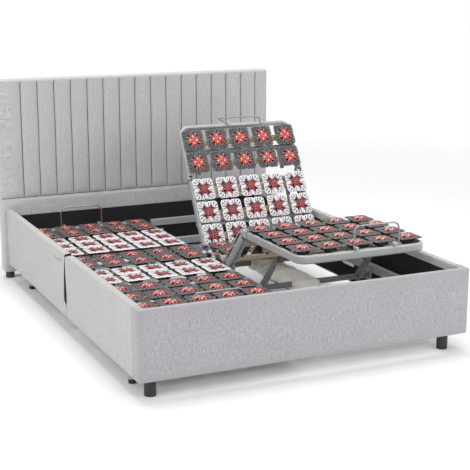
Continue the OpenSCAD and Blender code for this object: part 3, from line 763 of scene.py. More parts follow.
class Side(Enum):
    """The two bases."""

    LEFT = "left"
    RIGHT = "right"


@dataclass(frozen=True)
class Section:
    """A hinged or fixed part of a base.

    Attributes:
        name: Its name in the frame's nodes.
        rows: How many plot rows it has.
        plate: The finish of its plates.
        plate_slot: The plates' material slot.
    """

    name: str
    rows: int
    plate: Finishes
    plate_slot: str


NECK = Section("neck", 2, Finishes.GREY_PLATE, "grey_plots")
BACK = Section("back", 3, Finishes.WHITE_PLATE, "white_plots")
SEAT = Section("seat", 2, Finishes.GREY_PLATE, "grey_plots")
THIGH = Section("thigh", 2, Finishes.WHITE_PLATE, "white_plots")
LEG = Section("leg", 4, Finishes.GREY_PLATE, "grey_plots")
HINGED = (NECK, BACK, THIGH, LEG)
PLATE = 0.125
COLUMNS = 5


class Layout:
    """Where the bases, rows and hinges are, read from the frame."""

    def __init__(self) -> None:
        """Reads the joints and the flat base's boxes."""
        self.joints = {j["name"]: j for j in frame["record"]["behaviour"]["joints"]}
        self.base_x = abs(self.joints["left_back_hinge"]["pos_m"][0])
        low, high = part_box("left_back_plots")
        self.pitch = (high[0] - low[0] - PLATE) / (COLUMNS - 1)
        slat_low, slat_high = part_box("left_back_slats")
        self.slat_low, self.slat_top = slat_low[2], slat_high[2]
        self.slat_half = (slat_high[0] - slat_low[0]) / 2

    def centre_x(self, side: Side) -> float:
        """The x of a base's middle."""
        return -self.base_x if side is Side.LEFT else self.base_x

    def columns(self, side: Side) -> list[float]:
        """The x of each plot column."""
        return [self.centre_x(side) + (c - (COLUMNS - 1) / 2) * self.pitch
                for c in range(COLUMNS)]

    def rows(self, section: Section) -> list[float]:
        """Lists the y of each plot row of a section on a flat base.

        Args:
            section: The section.

        Returns:
            The rows' y, lowest first.
        """
        node = "seat_plots" if section is SEAT else f"left_{section.name}_plots"
        low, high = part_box(node)
        first, last = low[1] + PLATE / 2, high[1] - PLATE / 2
        return [first + (last - first) * i / (section.rows - 1) for i in range(section.rows)]

    def slat_width(self) -> float:
        """Works out a slat's width from the two neck slats and their spacing.

        Returns:
            The width.
        """
        low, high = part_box("left_neck_slats")
        rows = self.rows(NECK)
        return (high[1] - low[1]) - (rows[-1] - rows[0])

    def _hinge(self, side: Side, name: str) -> tuple[Vector, float]:
        """Reads a hinge.

        Args:
            side: The base it is on.
            name: Its section's name.

        Returns:
            Its place and how far it is raised at rest, in radians.
        """
        joint = self.joints[f"{side.value}_{name}_hinge"]
        return Vector(joint["pos_m"]), math.radians(-joint["range_deg"][0])

    def place(self, side: Side, section: Section) -> Matrix:
        """Works out how a section stands at rest.

        Args:
            side: The base it is on.
            section: The section.

        Returns:
            The transform from the flat base to the rest pose.
        """
        if section is SEAT:
            return Matrix.Identity(4)
        if section in (NECK, BACK):
            spot, angle = self._hinge(side, "back")
        else:
            spot, angle = self._hinge(side, "thigh")
            angle = -angle
        turn = (Matrix.Translation(spot) @ Matrix.Rotation(angle, 4, "X")
                @ Matrix.Translation(-spot))
        if section is LEG:
            knee = Vector(self.joints[f"{side.value}_knee_hinge"]["pos_m"])
            return Matrix.Translation(knee - turn.inverted() @ knee)
        return turn

    @staticmethod
    def owners(section: Section) -> list[tuple[str, tuple[Side, ...]]]:
        """Lists what a section's pieces are named after, the seat being one for both bases.

        Args:
            section: The section.

        Returns:
            The name and the sides of each group of pieces.
        """
        if section is SEAT:
            return [("seat", tuple(Side))]
        return [(f"{side.value}_{section.name}", (side,)) for side in Side]

    @staticmethod
    def body(side: Side, section: Section) -> str:
        """The body that a section's pieces ride on."""
        return ROOT if section is SEAT else f"{side.value}_{section.name}_section"


# ------------------------------------------------------------------ the pieces


@dataclass(frozen=True)
class Centre:
    """The spring centre of one kind of plot.

    Attributes:
        arm: Half the greatest width of a long arm.
        tip: Where the long arms end.
        clip_start: Where the short clips start.
        clip_end: Where they end.
        clip: Half their greatest width.
        arm_finish: The arms' finish.
        clip_finish: The clips' finish; on grey plots a cream painted highlight.
    """

    arm: float
    tip: float
    clip_start: float
    clip_end: float
    clip: float
    arm_finish: Finishes
    clip_finish: Finishes


# The grey plots' clips carry the cream painted highlight.
CENTRES = {
    Finishes.GREY_PLATE: Centre(0.0056, 0.046, 0.013, 0.029, 0.0046, Finishes.RED_SPRING,
                                Finishes.CREAM_CLIP),
    Finishes.WHITE_PLATE: Centre(0.0038, 0.051, 0.008, 0.022, 0.0034, Finishes.DARK_SPRING,
                                 Finishes.DARK_SPRING)}


@dataclass
class Plots:
    """The spring plots: slotted plates, red spring centres and black bowls.

    Attributes:
        layout: Where the rows and columns are.
        half: Half a plate's width.
        corner: The radius of a plate's corners.
        notch: The depth of the notch in the middle of each edge.
        notch_turn: Half the notch's width, in degrees.
        waist: The opening's reach toward the middle of an edge.
        reach: The opening's reach toward a corner.
        tongue: The length of the tongue in each corner of the opening.
        tongue_turn: Half the tongue's width, in degrees.
        full_turn: How far off a diagonal the opening starts to narrow, in degrees.
        shut_turn: How far off a diagonal it has narrowed to the waist.
        height: The plate's height over the slat.
        plate_skin: The plate's thickness.
        slots: How many slots the plate has.
        edge_turn: The angle either side of an edge's middle that has no slot.
        splay: The angle between a diagonal and each long arm, in degrees.
        arm_skin: The arms' thickness.
        arm_start: Where the long arms leave the hub.
        arm_rise: How far the long arms arch.
        clip_rise: How far the short clips arch.
        web_skin: The thickness of the web under the plate.
        strap: The thickness of the clip round the slat.
        strap_half: Half that clip's length along the slat.
        rib_count: How many ribs stiffen the bowl.
        plate_rings: (share of the way out, height) of each ring of the plate.
        web_rings: (share of the way out, depth under the plate) of the web.
        hub_profile: (radius, height) points of the spring's hub.
        bowl_profile: (radius, height) points of the bowl.
    """

    layout: Layout
    half: float = PLATE / 2
    corner: float = 0.018
    notch: float = 0.005
    notch_turn: float = 3.2
    waist: float = 0.026
    reach: float = 0.046
    tongue: float = 0.008
    tongue_turn: float = 11.0
    full_turn: float = 20.0
    shut_turn: float = 34.0
    height: float = 0.045
    plate_skin: float = 0.0026
    slots: int = 24
    edge_turn: float = 9.0
    splay: float = 18.0
    arm_skin: float = 0.0024
    arm_start: float = 0.007
    arm_rise: float = 0.0058
    clip_rise: float = 0.0056
    web_skin: float = 0.0016
    strap: float = 0.0018
    strap_half: float = 0.007
    rib_count: int = 8
    plate_rings: Profile = ((0.0, -0.0024), (0.06, 0.0), (0.22, 0.0004), (0.80, -0.0002),
                            (0.93, -0.0012), (1.0, -0.0034))
    web_rings: Profile = ((0.0, 0.0085), (0.55, 0.0085), (0.90, 0.0062))
    hub_profile: Profile = ((0.0001, 0.0056), (0.0038, 0.0050), (0.0070, 0.0026),
                            (0.0088, 0.0010), (0.0090, -0.0060), (0.0001, -0.0062))
    bowl_profile: Profile = ((0.0001, 0.013), (0.010, 0.012), (0.0125, 0.004),
                             (0.0165, 0.0035), (0.018, 0.0008), (0.0185, 0.004),
                             (0.0175, 0.010), (0.026, 0.021), (0.0425, 0.0335),
                             (0.0440, 0.0345), (0.0420, 0.0345), (0.0245, 0.0235),
                             (0.0001, 0.0185))

    @staticmethod
    def off_diagonal(angle: float) -> float:
        """How far an angle is from the nearest diagonal, in radians."""
        return abs(angle % (math.pi / 2) - math.pi / 4)

    def edge(self, angle: float, notched: bool = True) -> float:
        """Measures the plate's rounded square.

        Args:
            angle: The direction, in radians.
            notched: Whether the edges have their notches.

        Returns:
            The distance from the middle to the edge.
        """
        c, s = sorted((abs(math.cos(angle)), abs(math.sin(angle))), reverse=True)
        reach = self.half / c
        core = self.half - self.corner
        if reach * s > core:
            lean = core * (c + s)
            reach = lean + math.sqrt(lean * lean - 2 * core * core + self.corner ** 2)
        middle = math.pi / 4 - self.off_diagonal(angle)
        cut = notched and middle < math.radians(self.notch_turn)
        return reach - (self.notch if cut else 0.0)

    def opening(self, angle: float) -> float:
        """Measures the plate's cross-shaped opening.

        Args:
            angle: The direction, in radians.

        Returns:
            The distance from the middle to the opening's edge.
        """
        off = math.degrees(self.off_diagonal(angle))
        fade = self.shut_turn - self.full_turn
        open_by = max(0.0, min(1.0, (self.shut_turn - off) / fade))
        tongue = self.tongue * max(0.0, 1.0 - off / self.tongue_turn)
        return self.waist + (self.reach - self.waist) * open_by - tongue

    def plate(self) -> Shell:
        """Builds one slotted plate, its middle open for the spring.

        Returns:
            The plate.
        """
        cells = self.slots * 3
        rows = []
        for share, lift in self.plate_rings:
            row = []
            for k in range(cells):
                angle = 2 * math.pi * (k + 0.5) / cells
                inner = self.opening(angle)
                reach = inner + (self.edge(angle) - inner) * share
                row.append((reach * math.cos(angle), reach * math.sin(angle),
                            self.height + lift))
            rows.append(row)
        made = Shell()
        made.grid(rows, closed=True, skip=lambda r, c: r == 2 and self.slotted(c, cells))
        return made.thickened(self.plate_skin)

    def slotted(self, cell: int, cells: int) -> bool:
        """Says whether a cell of the plate's middle ring is a slot."""
        middle = math.pi / 4 - self.off_diagonal(2 * math.pi * (cell + 1) / cells)
        return cell % 3 == 0 and middle > math.radians(self.edge_turn)

    def arm(self, turn: Matrix, inner: float, outer: float, wide: float,
            rise: float) -> Shell:
        """Builds one arched arm from near the hub out to the plate's opening.

        Args:
            turn: The arm's direction.
            inner: Where it starts.
            outer: Where it ends.
            wide: Half its greatest width.
            rise: How far it arches.

        Returns:
            The arm.
        """
        rows = []
        for i in range(7):
            t = i / 6
            reach = inner + (outer - inner) * t
            half = wide * (0.62 + 0.38 * math.sin(math.pi * min(1.0, 0.1 + t)))
            top = self.height - 0.0006 + rise * math.sin(math.pi * (0.10 + 0.80 * t))
            rows.append([turn @ Vector((reach, s * half, top - 0.0012 * s * s))
                         for s in (-1.0, -0.5, 0.0, 0.5, 1.0)])
        made = Shell()
        made.grid(rows)
        return made.thickened(self.arm_skin)

    def spring(self, centre: Centre) -> Shell:
        """Builds one spring centre: a hub with long arms in pairs to the corners.

        Args:
            centre: The kind of centre.

        Returns:
            The hub and its arms.
        """
        made = Shell()
        for quarter in range(4):
            for lean in (-self.splay, self.splay):
                angle = math.radians(45.0 + 90.0 * quarter + lean)
                made.merge(self.arm(Matrix.Rotation(angle, 4, "Z"), self.arm_start, centre.tip,
                                    centre.arm, self.arm_rise))
        made.merge(lathe(self.hub_profile, 16), Matrix.Translation((0, 0, self.height)))
        return made

    def clips(self, centre: Centre) -> Shell:
        """Builds the four short clips that stand between the long arms.

        Args:
            centre: The kind of centre.

        Returns:
            The clips.
        """
        made = Shell()
        for quarter in range(4):
            turn = Matrix.Rotation(math.radians(90.0 * quarter), 4, "Z")
            made.merge(self.arm(turn, centre.clip_start, centre.clip_end, centre.clip,
                                self.clip_rise))
        return made

    def underplate(self) -> Shell:
        """Builds the black web that closes the bowl under the slotted plate.

        Returns:
            The web.
        """
        rows = []
        for share, drop in self.web_rings:
            rows.append([((self.edge(a, False) * share + 1e-4) * math.cos(a),
                          (self.edge(a, False) * share + 1e-4) * math.sin(a),
                          self.height - drop)
                         for a in (2 * math.pi * k / 32 for k in range(32))])
        made = Shell()
        made.grid(rows, closed=True)
        return made.thickened(self.web_skin)

    def bowl(self) -> Shell:
        """Builds one black bowl with its foot, its ribs and the clip round the slat.

        Returns:
            The bowl.
        """
        made = lathe(self.bowl_profile, 24)
        made.merge(self.underplate())
        slat = self.layout.slat_width() / 2
        deep = self.layout.slat_top - self.layout.slat_low
        outer, half = slat + self.strap, self.strap_half
        for s in (-1, 1):
            near, far = sorted((s * slat, s * outer))
            made.merge(plain_box((-half, near, -deep - 0.0015), (half, far, 0.002)))
        made.merge(plain_box((-half, -outer, 0.0), (half, outer, 0.0022)))
        for k in range(self.rib_count):
            rib = plain_box((0.022, -0.0012, 0.016), (0.038, 0.0012, 0.032), 0.0004)
            made.merge(rib, Matrix.Rotation(2 * math.pi * (k + 0.5) / self.rib_count, 4, "Z"))
        return made

    def build(self) -> None:
        """Builds every section's plots on both bases."""
        plate, bowl = self.plate(), self.bowl()
        kinds = {finish: {"plates": (plate, finish), "bowls": (bowl, Finishes.BLACK),
                          "springs": (self.spring(centre), centre.arm_finish),
                          "clips": (self.clips(centre), centre.clip_finish)}
                 for finish, centre in CENTRES.items()}
        for section in (SEAT, *HINGED):
            for owner, sides in self.layout.owners(section):
                body = self.layout.body(sides[0], section)
                for kind, (pattern, finish) in kinds[section.plate].items():
                    shell = Shell()
                    for side in sides:
                        place = self.layout.place(side, section)
                        for x in self.layout.columns(side):
                            for y in self.layout.rows(section):
                                spot = Matrix.Translation((x, y, self.layout.slat_top))
                                shell.merge(pattern, place @ spot)
                    piece = shell.build(f"{owner}_{kind}", [finish], 50.0, weld=False)
                    keep(piece, body, section.plate_slot, f"{owner}_plots")


@dataclass
class Slats:
    """The laminated slats with black end caps.

    Attributes:
        layout: Where the rows are.
        cap: How far a cap reaches over the slat's end.
        lip: How far a cap stands out round the slat.
        radius: The radius of the slat's edges.
        inset: How far the wood stays back inside its caps.
    """

    layout: Layout
    cap: float = 0.018
    lip: float = 0.0012
    radius: float = 0.003
    inset: float = 0.0005

    def one(self, half: float, width: float) -> tuple[Shell, Shell]:
        """Builds a slat and its two caps, centred on x and y, the underside at z 0.

        Args:
            half: Half the slat's length.
            width: The slat's width.

        Returns:
            The wood and the caps.
        """
        deep = self.layout.slat_top - self.layout.slat_low
        end, soft, edge = half - self.inset, self.radius, width / 2
        wood = soft_box([-end, -end + soft, -0.1, 0.1, end - soft, end],
                        [-edge, -edge + soft, edge - soft, edge],
                        [0.0, soft, deep - soft, deep], soft)
        caps = Shell()
        for s in (-1, 1):
            ends = sorted((s * half, s * (half - self.cap)))
            caps.merge(plain_box((ends[0], -edge - self.lip, 0.0002),
                                 (ends[1], edge + self.lip, deep + self.lip), 0.001))
        return wood, caps

    def build(self) -> None:
        """Builds every section's slats on both bases."""
        width = self.layout.slat_width()
        low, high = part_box("seat_slats")
        seat_half = (high[0] - low[0]) / 2 - self.layout.base_x
        for section in (SEAT, *HINGED):
            half = seat_half if section is SEAT else self.layout.slat_half
            wood, caps = self.one(half, width)
            for owner, sides in self.layout.owners(section):
                boards, ends = Shell(), Shell()
                for side in sides:
                    place = self.layout.place(side, section)
                    for y in self.layout.rows(section):
                        spot = Matrix.Translation((self.layout.centre_x(side), y,
                                                   self.layout.slat_low))
                        boards.merge(wood, place @ spot)
                        ends.merge(caps, place @ spot)
                body = self.layout.body(sides[0], section)
                keep(boards.build(f"{owner}_slat_boards", [Finishes.SLAT], 30.0, weld=False),
                     body, "slat_wood", f"{owner}_slats")
                keep(ends.build(f"{owner}_slat_caps", [Finishes.BLACK], 30.0, weld=False),
                     body, "black_plastic")


@dataclass
class Headboard:
    """The padded headboard with upright channels and one level seam.

    Attributes:
        channels: How many channels it has, the two end strips with them.
        pitch: The distance between upright seams.
        seam_z: The level seam's height.
        depth: How deep the seams lie.
        shift: How far the seams stand to the right of the middle.
        radius: The radius of the board's edges.
        margin: The plain strip above the upright seams.
        columns: How many columns of faces a channel has.
        pucker: How deep the creases at the seams are.
        drape: How uneven the whole front is.
        sway: How far the seams wander sideways.
        border: The width at each side where they don't wander.
    """

    channels: int = 17
    pitch: float = 0.1005
    seam_z: float = 0.479
    depth: float = 0.014
    shift: float = 0.028
    radius: float = 0.014
    margin: float = 0.017
    columns: int = 12
    pucker: float = 0.0016
    drape: float = 0.0018
    sway: float = 0.0022
    border: float = 0.06

    def channel_edges(self, low: float, high: float) -> list[float]:
        """Lists the x of every channel's edge.

        Args:
            low: The board's left side.
            high: The board's right side.

        Returns:
            The edges from left to right, both sides with them.
        """
        middle = (low + high) / 2 + self.shift
        inner = [middle + (i - (self.channels - 2) / 2) * self.pitch
                 for i in range(self.channels - 1)]
        return [low, *inner, high]

    def sink(self, share: float) -> float:
        """How deep the fabric lies at a place across a channel, -1 to 1."""
        return 1.0 - math.sqrt(max(0.0, 1.0 - abs(share) ** 3.2))

    def build(self) -> None:
        """Builds the padded cover and dresses the board and the feet."""
        low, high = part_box("headboard_cover")
        edges = self.channel_edges(low[0], high[0])
        xs: list[float] = [low[0], low[0] + self.radius * 0.3, low[0] + self.radius * 0.65]
        for i in range(self.channels):
            a, b = edges[i], edges[i + 1]
            if i == 0:
                a = low[0] + self.radius
            if i == self.channels - 1:
                b = high[0] - self.radius
            xs += [a + (b - a) * (1 - math.cos(math.pi * k / self.columns)) / 2
                   for k in range(self.columns)]
        xs += [high[0] - self.radius * c for c in (1.0, 0.65, 0.3, 0.0)]
        near = [0.0, 0.0016, 0.004, 0.008, 0.014, 0.022]
        zs = spread(low[2], high[2], 0.018, self.radius)
        zs = [z for z in zs if abs(z - self.seam_z) > 0.028]
        beside = [self.seam_z + s * n for n in near for s in ((1,) if n == 0 else (-1, 1))]
        zs = sorted(zs + beside)
        back = high[1] - 0.001
        ys = spread(low[1], back, 0.02, self.radius)
        shell = soft_box(xs, ys, zs, self.radius)
        # Faces at the bottoms of the seams take the dark seam finish, painted shade in the
        # grooves.
        for i, face in enumerate(shell.faces):
            middle = sum((shell.points[j] for j in face), Vector()) / len(face)
            shell.marks[i] = int(self.in_seam(middle, edges, low[1], high[2]))
        for i, p in enumerate(shell.points):
            shell.points[i] = self.shaped(p, edges, low, high)
        piece = shell.build("headboard_padding",
                            [Finishes.HEADBOARD, Finishes.HEADBOARD_SEAM], 70.0)
        keep(piece, ROOT, "headboard_fabric", "headboard_cover")
        dress("headboard_panel", Finishes.BACKING)
        dress("headboard_feet", Finishes.FEET)

    def in_seam(self, spot: Vector, edges: Sequence[float], front: float, top: float) -> bool:
        """Says whether a place on the front lies at the bottom of a seam.

        Args:
            spot: The place.
            edges: The channels' edges.
            front: The y of the board's front.
            top: The z of the board's top.

        Returns:
            Whether it does.
        """
        if spot.y > front + 0.004:
            return False
        upright = min(abs(spot.x - e) for e in edges[1:-1]) < 0.0014
        level = abs(spot.z - self.seam_z) < 0.0012
        return level or (upright and self.seam_z < spot.z < top - self.margin)

    def shaped(self, p: Vector, edges: Sequence[float], low: Sequence[float],
               high: Sequence[float]) -> Vector:
        """Sinks a point of the cover into its seams and gives it light wrinkles.

        Args:
            p: The point on the plain board.
            edges: The channels' edges.
            low: The board's lowest corner.
            high: The board's highest corner.

        Returns:
            The moved point.
        """
        front = max(0.0, min(1.0, (low[1] + 2 * self.radius - p.y) / self.radius))
        if front <= 0.0:
            return p
        channel = max(i for i, e in enumerate(edges[:-1]) if e <= p.x + 1e-6)
        a, b = edges[channel], edges[channel + 1]
        share = (2 * p.x - a - b) / (b - a)
        outer_end = (channel == 0 and share < 0) or (channel == self.channels - 1 and share > 0)
        upright = 0.15 * share * share if outer_end else self.sink(share)
        upright *= max(0.0, min(1.0, (high[2] - self.margin - p.z) / 0.012))
        upright *= max(0.0, min(1.0, (p.z - self.seam_z) / 0.010))
        off = abs(p.z - self.seam_z)
        level = math.exp(-(off / 0.009) ** 1.3)
        sunk = 1.0 - (1.0 - min(1.0, upright)) * (1.0 - 0.8 * level)
        pucker = noise.noise(Vector((p.x * 9, p.z * 55, channel * 3.7))) * self.pucker
        pucker *= max(0.0, 1.0 - abs(off - 0.02) / 0.12) + 0.35
        drape = noise.noise(Vector((p.x * 4, p.z * 6, 1.5))) * self.drape
        y = p.y + front * (self.depth * sunk + (pucker + drape) * (1 - 0.6 * sunk))
        sway = noise.noise(Vector((p.x * 11, p.z * 4, 8.0))) * self.sway
        inside = low[0] + self.border < p.x < high[0] - self.border
        return Vector((p.x + (sway if inside else 0.0), max(y, low[1] - 0.002), p.z))


@dataclass
class BoxCovers:
    """The upholstered foot board and side rails with their black lining.

    Attributes:
        step: The distance between points along the covers.
        edge: The radius of the outer top edge.
        inner_edge: The radius of the inner top edge.
        lip: The height that the fabric is turned in down to.
        lip_step: How far the turned-in fabric stands out from the lining.
        skin: The radius of the lower edges.
        crease_z: The height of the crease by the rails' split.
        gape_back: How far the rear half hangs open at the split.
        gape_front: How far the front half hangs open there.
        right_slack: The right rails' slackness, where the left is 1.
        split_reach: How far from the split the fabric hangs open.
        crease_drop: How far below the top the crease starts.
        crease_sag: How far it sags in its middle.
        crease_deep: How deep it is.
        crease_half: Half its width.
        return_width: The width of the foot board's returns.
        plan_radius: The radius of the foot board's corners in plan.
        near_split: Distances from a rail's ends where its points lie closer.
        lining_rise: How far the lining starts above a board's foot.
    """

    step: float = 0.03
    edge: float = 0.008
    inner_edge: float = 0.006
    lip: float = 0.376
    lip_step: float = 0.0034
    skin: float = 0.004
    crease_z: float = 0.368
    gape_back: float = 0.036
    gape_front: float = 0.008
    right_slack: float = 0.4
    split_reach: float = 0.080
    crease_drop: float = 0.040
    crease_sag: float = 0.012
    crease_deep: float = 0.0065
    crease_half: float = 0.0045
    return_width: float = 0.04
    plan_radius: float = 0.014
    near_split: tuple[float, ...] = (0.0, 0.0025, 0.005, 0.008, 0.012, 0.017, 0.023, 0.030,
                                     0.038, 0.047, 0.058, 0.071, 0.085, 0.100, 0.115, 0.130,
                                     0.145, 0.160, 0.175, 0.190, 0.205)
    lining_rise: float = 0.0045

    @staticmethod
    def arc(centre: tuple[float, float], radius: float, start: float,
            end: float) -> list[tuple[float, float]]:
        """Lists five points round a corner.

        Args:
            centre: The corner's middle.
            radius: Its radius.
            start: The first point's angle, in degrees.
            end: The last point's angle, in degrees.

        Returns:
            The points.
        """
        angles = [math.radians(start + (end - start) * k / 4) for k in range(5)]
        return [(centre[0] + radius * math.cos(a), centre[1] + radius * math.sin(a))
                for a in angles]

    def section(self, low: float, high: float, thick: float) -> list[tuple[float, float]]:
        """A rail's section: (distance from its inner face, height) all the way round.

        Args:
            low: Height of the underside.
            high: Height of the top.
            thick: The rail's thickness.

        Returns:
            The points, with the inner side set back under the turned-in lip.
        """
        inner, outer, foot = self.inner_edge, self.edge, self.skin
        points = [(self.lip_step, low + self.skin), (self.lip_step, 0.24),
                  (self.lip_step, self.lip), (0.0, self.lip), (0.0, self.lip + 0.014)]
        points += self.arc((inner, high - inner), inner, 180.0, 90.0)
        points += self.arc((thick - outer, high - outer), outer, 90.0, 0.0)
        crease = self.crease_z
        for top, bottom, step in ((high - 0.014, crease + 0.016, -0.016),
                                  (crease + 0.012, crease - 0.012, -0.003),
                                  (crease - 0.018, low + 0.010, -0.016)):
            points += [(thick, z) for z in spread(top, bottom, step)]
        points += self.arc((thick - foot, low + foot), foot, 0.0, -90.0)
        points += [(thick / 2, low), (0.0, low), (0.0, low + self.skin)]
        return points

    def rail(self, name: str, low: Sequence[float], high: Sequence[float], split_low: bool,
             split_high: bool) -> bpy.types.Object:
        """Builds one padded half of a side rail.

        Args:
            name: The piece's name.
            low: Its lowest corner.
            high: Its highest corner.
            split_low: Whether its low-y end meets the other half.
            split_high: Whether its high-y end meets the other half.

        Returns:
            The piece.
        """
        outside = 1.0 if (low[0] + high[0]) > 0 else -1.0
        inner = low[0] if outside > 0 else high[0]
        slack = self.right_slack if outside > 0 else 1.0
        thick = high[0] - low[0]
        ys = [low[1] + c for c in self.near_split]
        ys += spread(low[1] + 0.22, high[1] - 0.22, self.step)
        ys += [high[1] - c for c in reversed(self.near_split)]
        rows = []
        for y in ys:
            row = []
            for u, z in self.section(low[2], high[2], thick):
                spot = Vector((u, y, z))
                if u > thick / 2:
                    spot += self.swell(spot, outside, high[2])
                if split_low:
                    spot += self.opened(spot, low[1], 1.0, high[2], thick, slack)
                if split_high:
                    spot += self.opened(spot, high[1], -1.0, high[2], thick, slack)
                row.append((inner + outside * spot.x, spot.y, spot.z))
            rows.append(row)
        shell = Shell()
        shell.grid(rows, closed=True)
        wide, last = len(rows[0]), len(rows[0]) * (len(rows) - 1)
        shell.faces.append(tuple(range(wide)))
        shell.faces.append(tuple(range(last, last + wide)))
        # The end faces at the split take the black lining: painted shade in the slit between the
        # halves.
        shell.marks += [int(split_low), int(split_high)]
        return shell.build(name, [Finishes.RAIL, Finishes.LINING], 50.0)

    @staticmethod
    def swell(spot: Vector, outside: float, top: float) -> Vector:
        """Gives the stretched outer fabric its slight unevenness.

        Args:
            spot: A point of the outer face.
            outside: 1 on the right rail, -1 on the left one.
            top: The z of the cover's top.

        Returns:
            The point's move.
        """
        wide = noise.noise(Vector((spot.y * 3.0, spot.z * 9.0, outside * 4.0))) * 0.0020
        fine = noise.noise(Vector((spot.y * 17.0, spot.z * 11.0, outside * 9.0))) * 0.0006
        sag = noise.noise(Vector((spot.y * 5.0, outside * 3.0, 6.0))) * 0.0012
        near_top = max(0.0, 1.0 - (top - spot.z) / 0.012)
        return Vector((wide + fine - 0.0014, 0.0, (sag - 0.0010) * near_top))

    def opened(self, spot: Vector, end: float, sign: float, top: float, thick: float,
               slack: float) -> Vector:
        """Moves a point near the rail's split, where the fabric hangs open and is creased.

        Args:
            spot: The point, its x measured outward from the cover's inner face.
            end: The y of the split.
            sign: 1 for the half behind the split, -1 for the half in front of it.
            top: The z of the cover's top.
            thick: The cover's thickness.
            slack: How slack the fabric is, 1 for the slackest.

        Returns:
            The move.
        """
        away = (spot.y - end) * sign
        near = max(0.0, 1.0 - away / self.split_reach)
        down = top - spot.z
        outer = max(0.0, min(1.0, spot.x / thick * 1.6 - 0.4))
        gape = max(0.0, min(1.0, (down - 0.018) / 0.20, (0.268 - down) / 0.02)) ** 0.8
        pull = slack * (self.gape_back if sign > 0 else self.gape_front)
        move = Vector((-0.004 * near ** 3 * outer, sign * pull * near ** 2 * gape * outer, 0.0))
        if sign < 0:
            high_up = max(0.0, 1.0 - down / 0.06)
            move.z -= 0.012 * near * near * high_up
            move.y -= 0.003 * near * near * high_up * outer
        else:
            along = (away - 0.045) / 0.155
            sag = self.crease_sag * math.sin(math.pi * max(0.0, min(1.0, along)))
            line = abs(down - self.crease_drop - sag)
            held = max(0.0, min(1.0, (away - 0.030) / 0.02, (0.205 - away) / 0.03))
            groove = math.exp(-(line / self.crease_half) ** 2)
            move.x -= self.crease_deep * slack * groove * held * outer
        return move

    def rails(self, side: Side) -> None:
        """Builds both halves of one side's rail cover.

        Args:
            side: The side of the bed.
        """
        node = f"{side.value}_rail_covers"
        low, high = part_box(node)
        split_low, split_high = self.split()
        for number, (y0, y1) in enumerate(((low[1], split_low), (split_high, high[1]))):
            part = self.rail(f"{node}_{number}", (low[0], y0, low[2]), (high[0], y1, high[2]),
                             number == 1, number == 0)
            keep(part, ROOT, "box_fabric", node)

    @staticmethod
    def split() -> tuple[float, float]:
        """Finds the slit between the rail halves, from the joint plates.

        Returns:
            The y where it starts and where it ends.
        """
        low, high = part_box("joint_plates")
        middle = (low[1] + high[1]) / 2
        return middle - 0.001, middle + 0.001

    def foot_outline(self, low: Sequence[float], high: Sequence[float],
                     thick: float) -> list[tuple[float, float]]:
        """Draws the foot board's plan, a wide bar with a return at each end.

        Args:
            low: The board's lowest corner.
            high: Its highest corner.
            thick: The bar's thickness.

        Returns:
            The points all the way round.
        """
        ret, radius = self.return_width, self.plan_radius
        points: list[tuple[float, float]] = []

        def line(a: tuple[float, float], b: tuple[float, float]) -> None:
            """Adds points along a straight.

            Args:
                a: Its start.
                b: Its end, which isn't added.
            """
            count = max(1, round(math.dist(a, b) / self.step))
            points.extend((a[0] + (b[0] - a[0]) * k / count, a[1] + (b[1] - a[1]) * k / count)
                          for k in range(count))

        def bend(cx: float, cy: float, start: float) -> None:
            """Adds a quarter turn round a corner.

            Args:
                cx: The x of the corner's middle.
                cy: The y of the corner's middle.
                start: The first point's angle, in degrees.
            """
            points.extend((cx + radius * math.cos(math.radians(start + 18 * k)),
                           cy + radius * math.sin(math.radians(start + 18 * k)))
                          for k in range(5))

        x0, y0, x1, y1 = low[0], low[1], high[0], high[1]
        bend(x0 + radius, y0 + radius, 180)
        line((x0 + radius, y0), (x1 - radius, y0))
        bend(x1 - radius, y0 + radius, 270)
        line((x1, y0 + radius), (x1, y1))
        line((x1, y1), (x1 - ret, y1))
        line((x1 - ret, y1), (x1 - ret, y0 + thick))
        line((x1 - ret, y0 + thick), (x0 + ret, y0 + thick))
        line((x0 + ret, y0 + thick), (x0 + ret, y1))
        line((x0 + ret, y1), (x0, y1))
        line((x0, y1), (x0, y0 + radius))
        return points

    def foot(self) -> None:
        """Builds the foot board's cover."""
        low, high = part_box("foot_board_cover")
        panel_low, panel_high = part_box("foot_board_panel")
        thick = panel_high[1] + 0.003 - low[1]
        rows = []
        turns = [0.0, 22.5, 45.0, 67.5, 90.0]
        levels = [(self.edge * (1 - math.sin(math.radians(t))),
                   low[2] + self.edge * (1 - math.cos(math.radians(t))), 0.0) for t in turns]
        levels += [(0.0, z, self.lip_step)
                   for z in spread(low[2] + self.edge, self.lip, 0.018)]
        levels += [(0.0, self.lip, 0.0)]
        levels += [(self.edge * (1 - math.cos(math.radians(t))),
                    high[2] - self.edge * (1 - math.sin(math.radians(t))), 0.0) for t in turns]
        for inset, z, set_back in levels:
            row = []
            outline = self.foot_outline(low, high, thick - set_back)
            count = len(outline)
            for k, (x, y) in enumerate(outline):
                ax, ay = outline[k - 1]
                bx, by = outline[(k + 1) % count]
                tangent = Vector((bx - ax, by - ay)).normalized()
                out = Vector((tangent.y, -tangent.x))
                swell = 0.0
                if out.y < -0.5:
                    swell = noise.noise(Vector((x * 3.5, z * 9.0, 7.0))) * 0.0020 - 0.0010
                move = swell - inset
                row.append((x + out.x * move, y + out.y * move, z))
            rows.append(row)
        shell = Shell()
        shell.grid(rows, closed=True)
        base = len(rows[0]) * (len(rows) - 1)
        shell.faces.append(tuple(range(count - 1, -1, -1)))
        shell.faces.append(tuple(range(base, base + count)))
        shell.marks += [0, 0]
        piece = shell.build("foot_board_padding", [Finishes.FOOT], 50.0)
        keep(piece, ROOT, "box_fabric", "foot_board_cover")
        face = panel_high[1] + 0.0001
        side = high[0] - 0.042
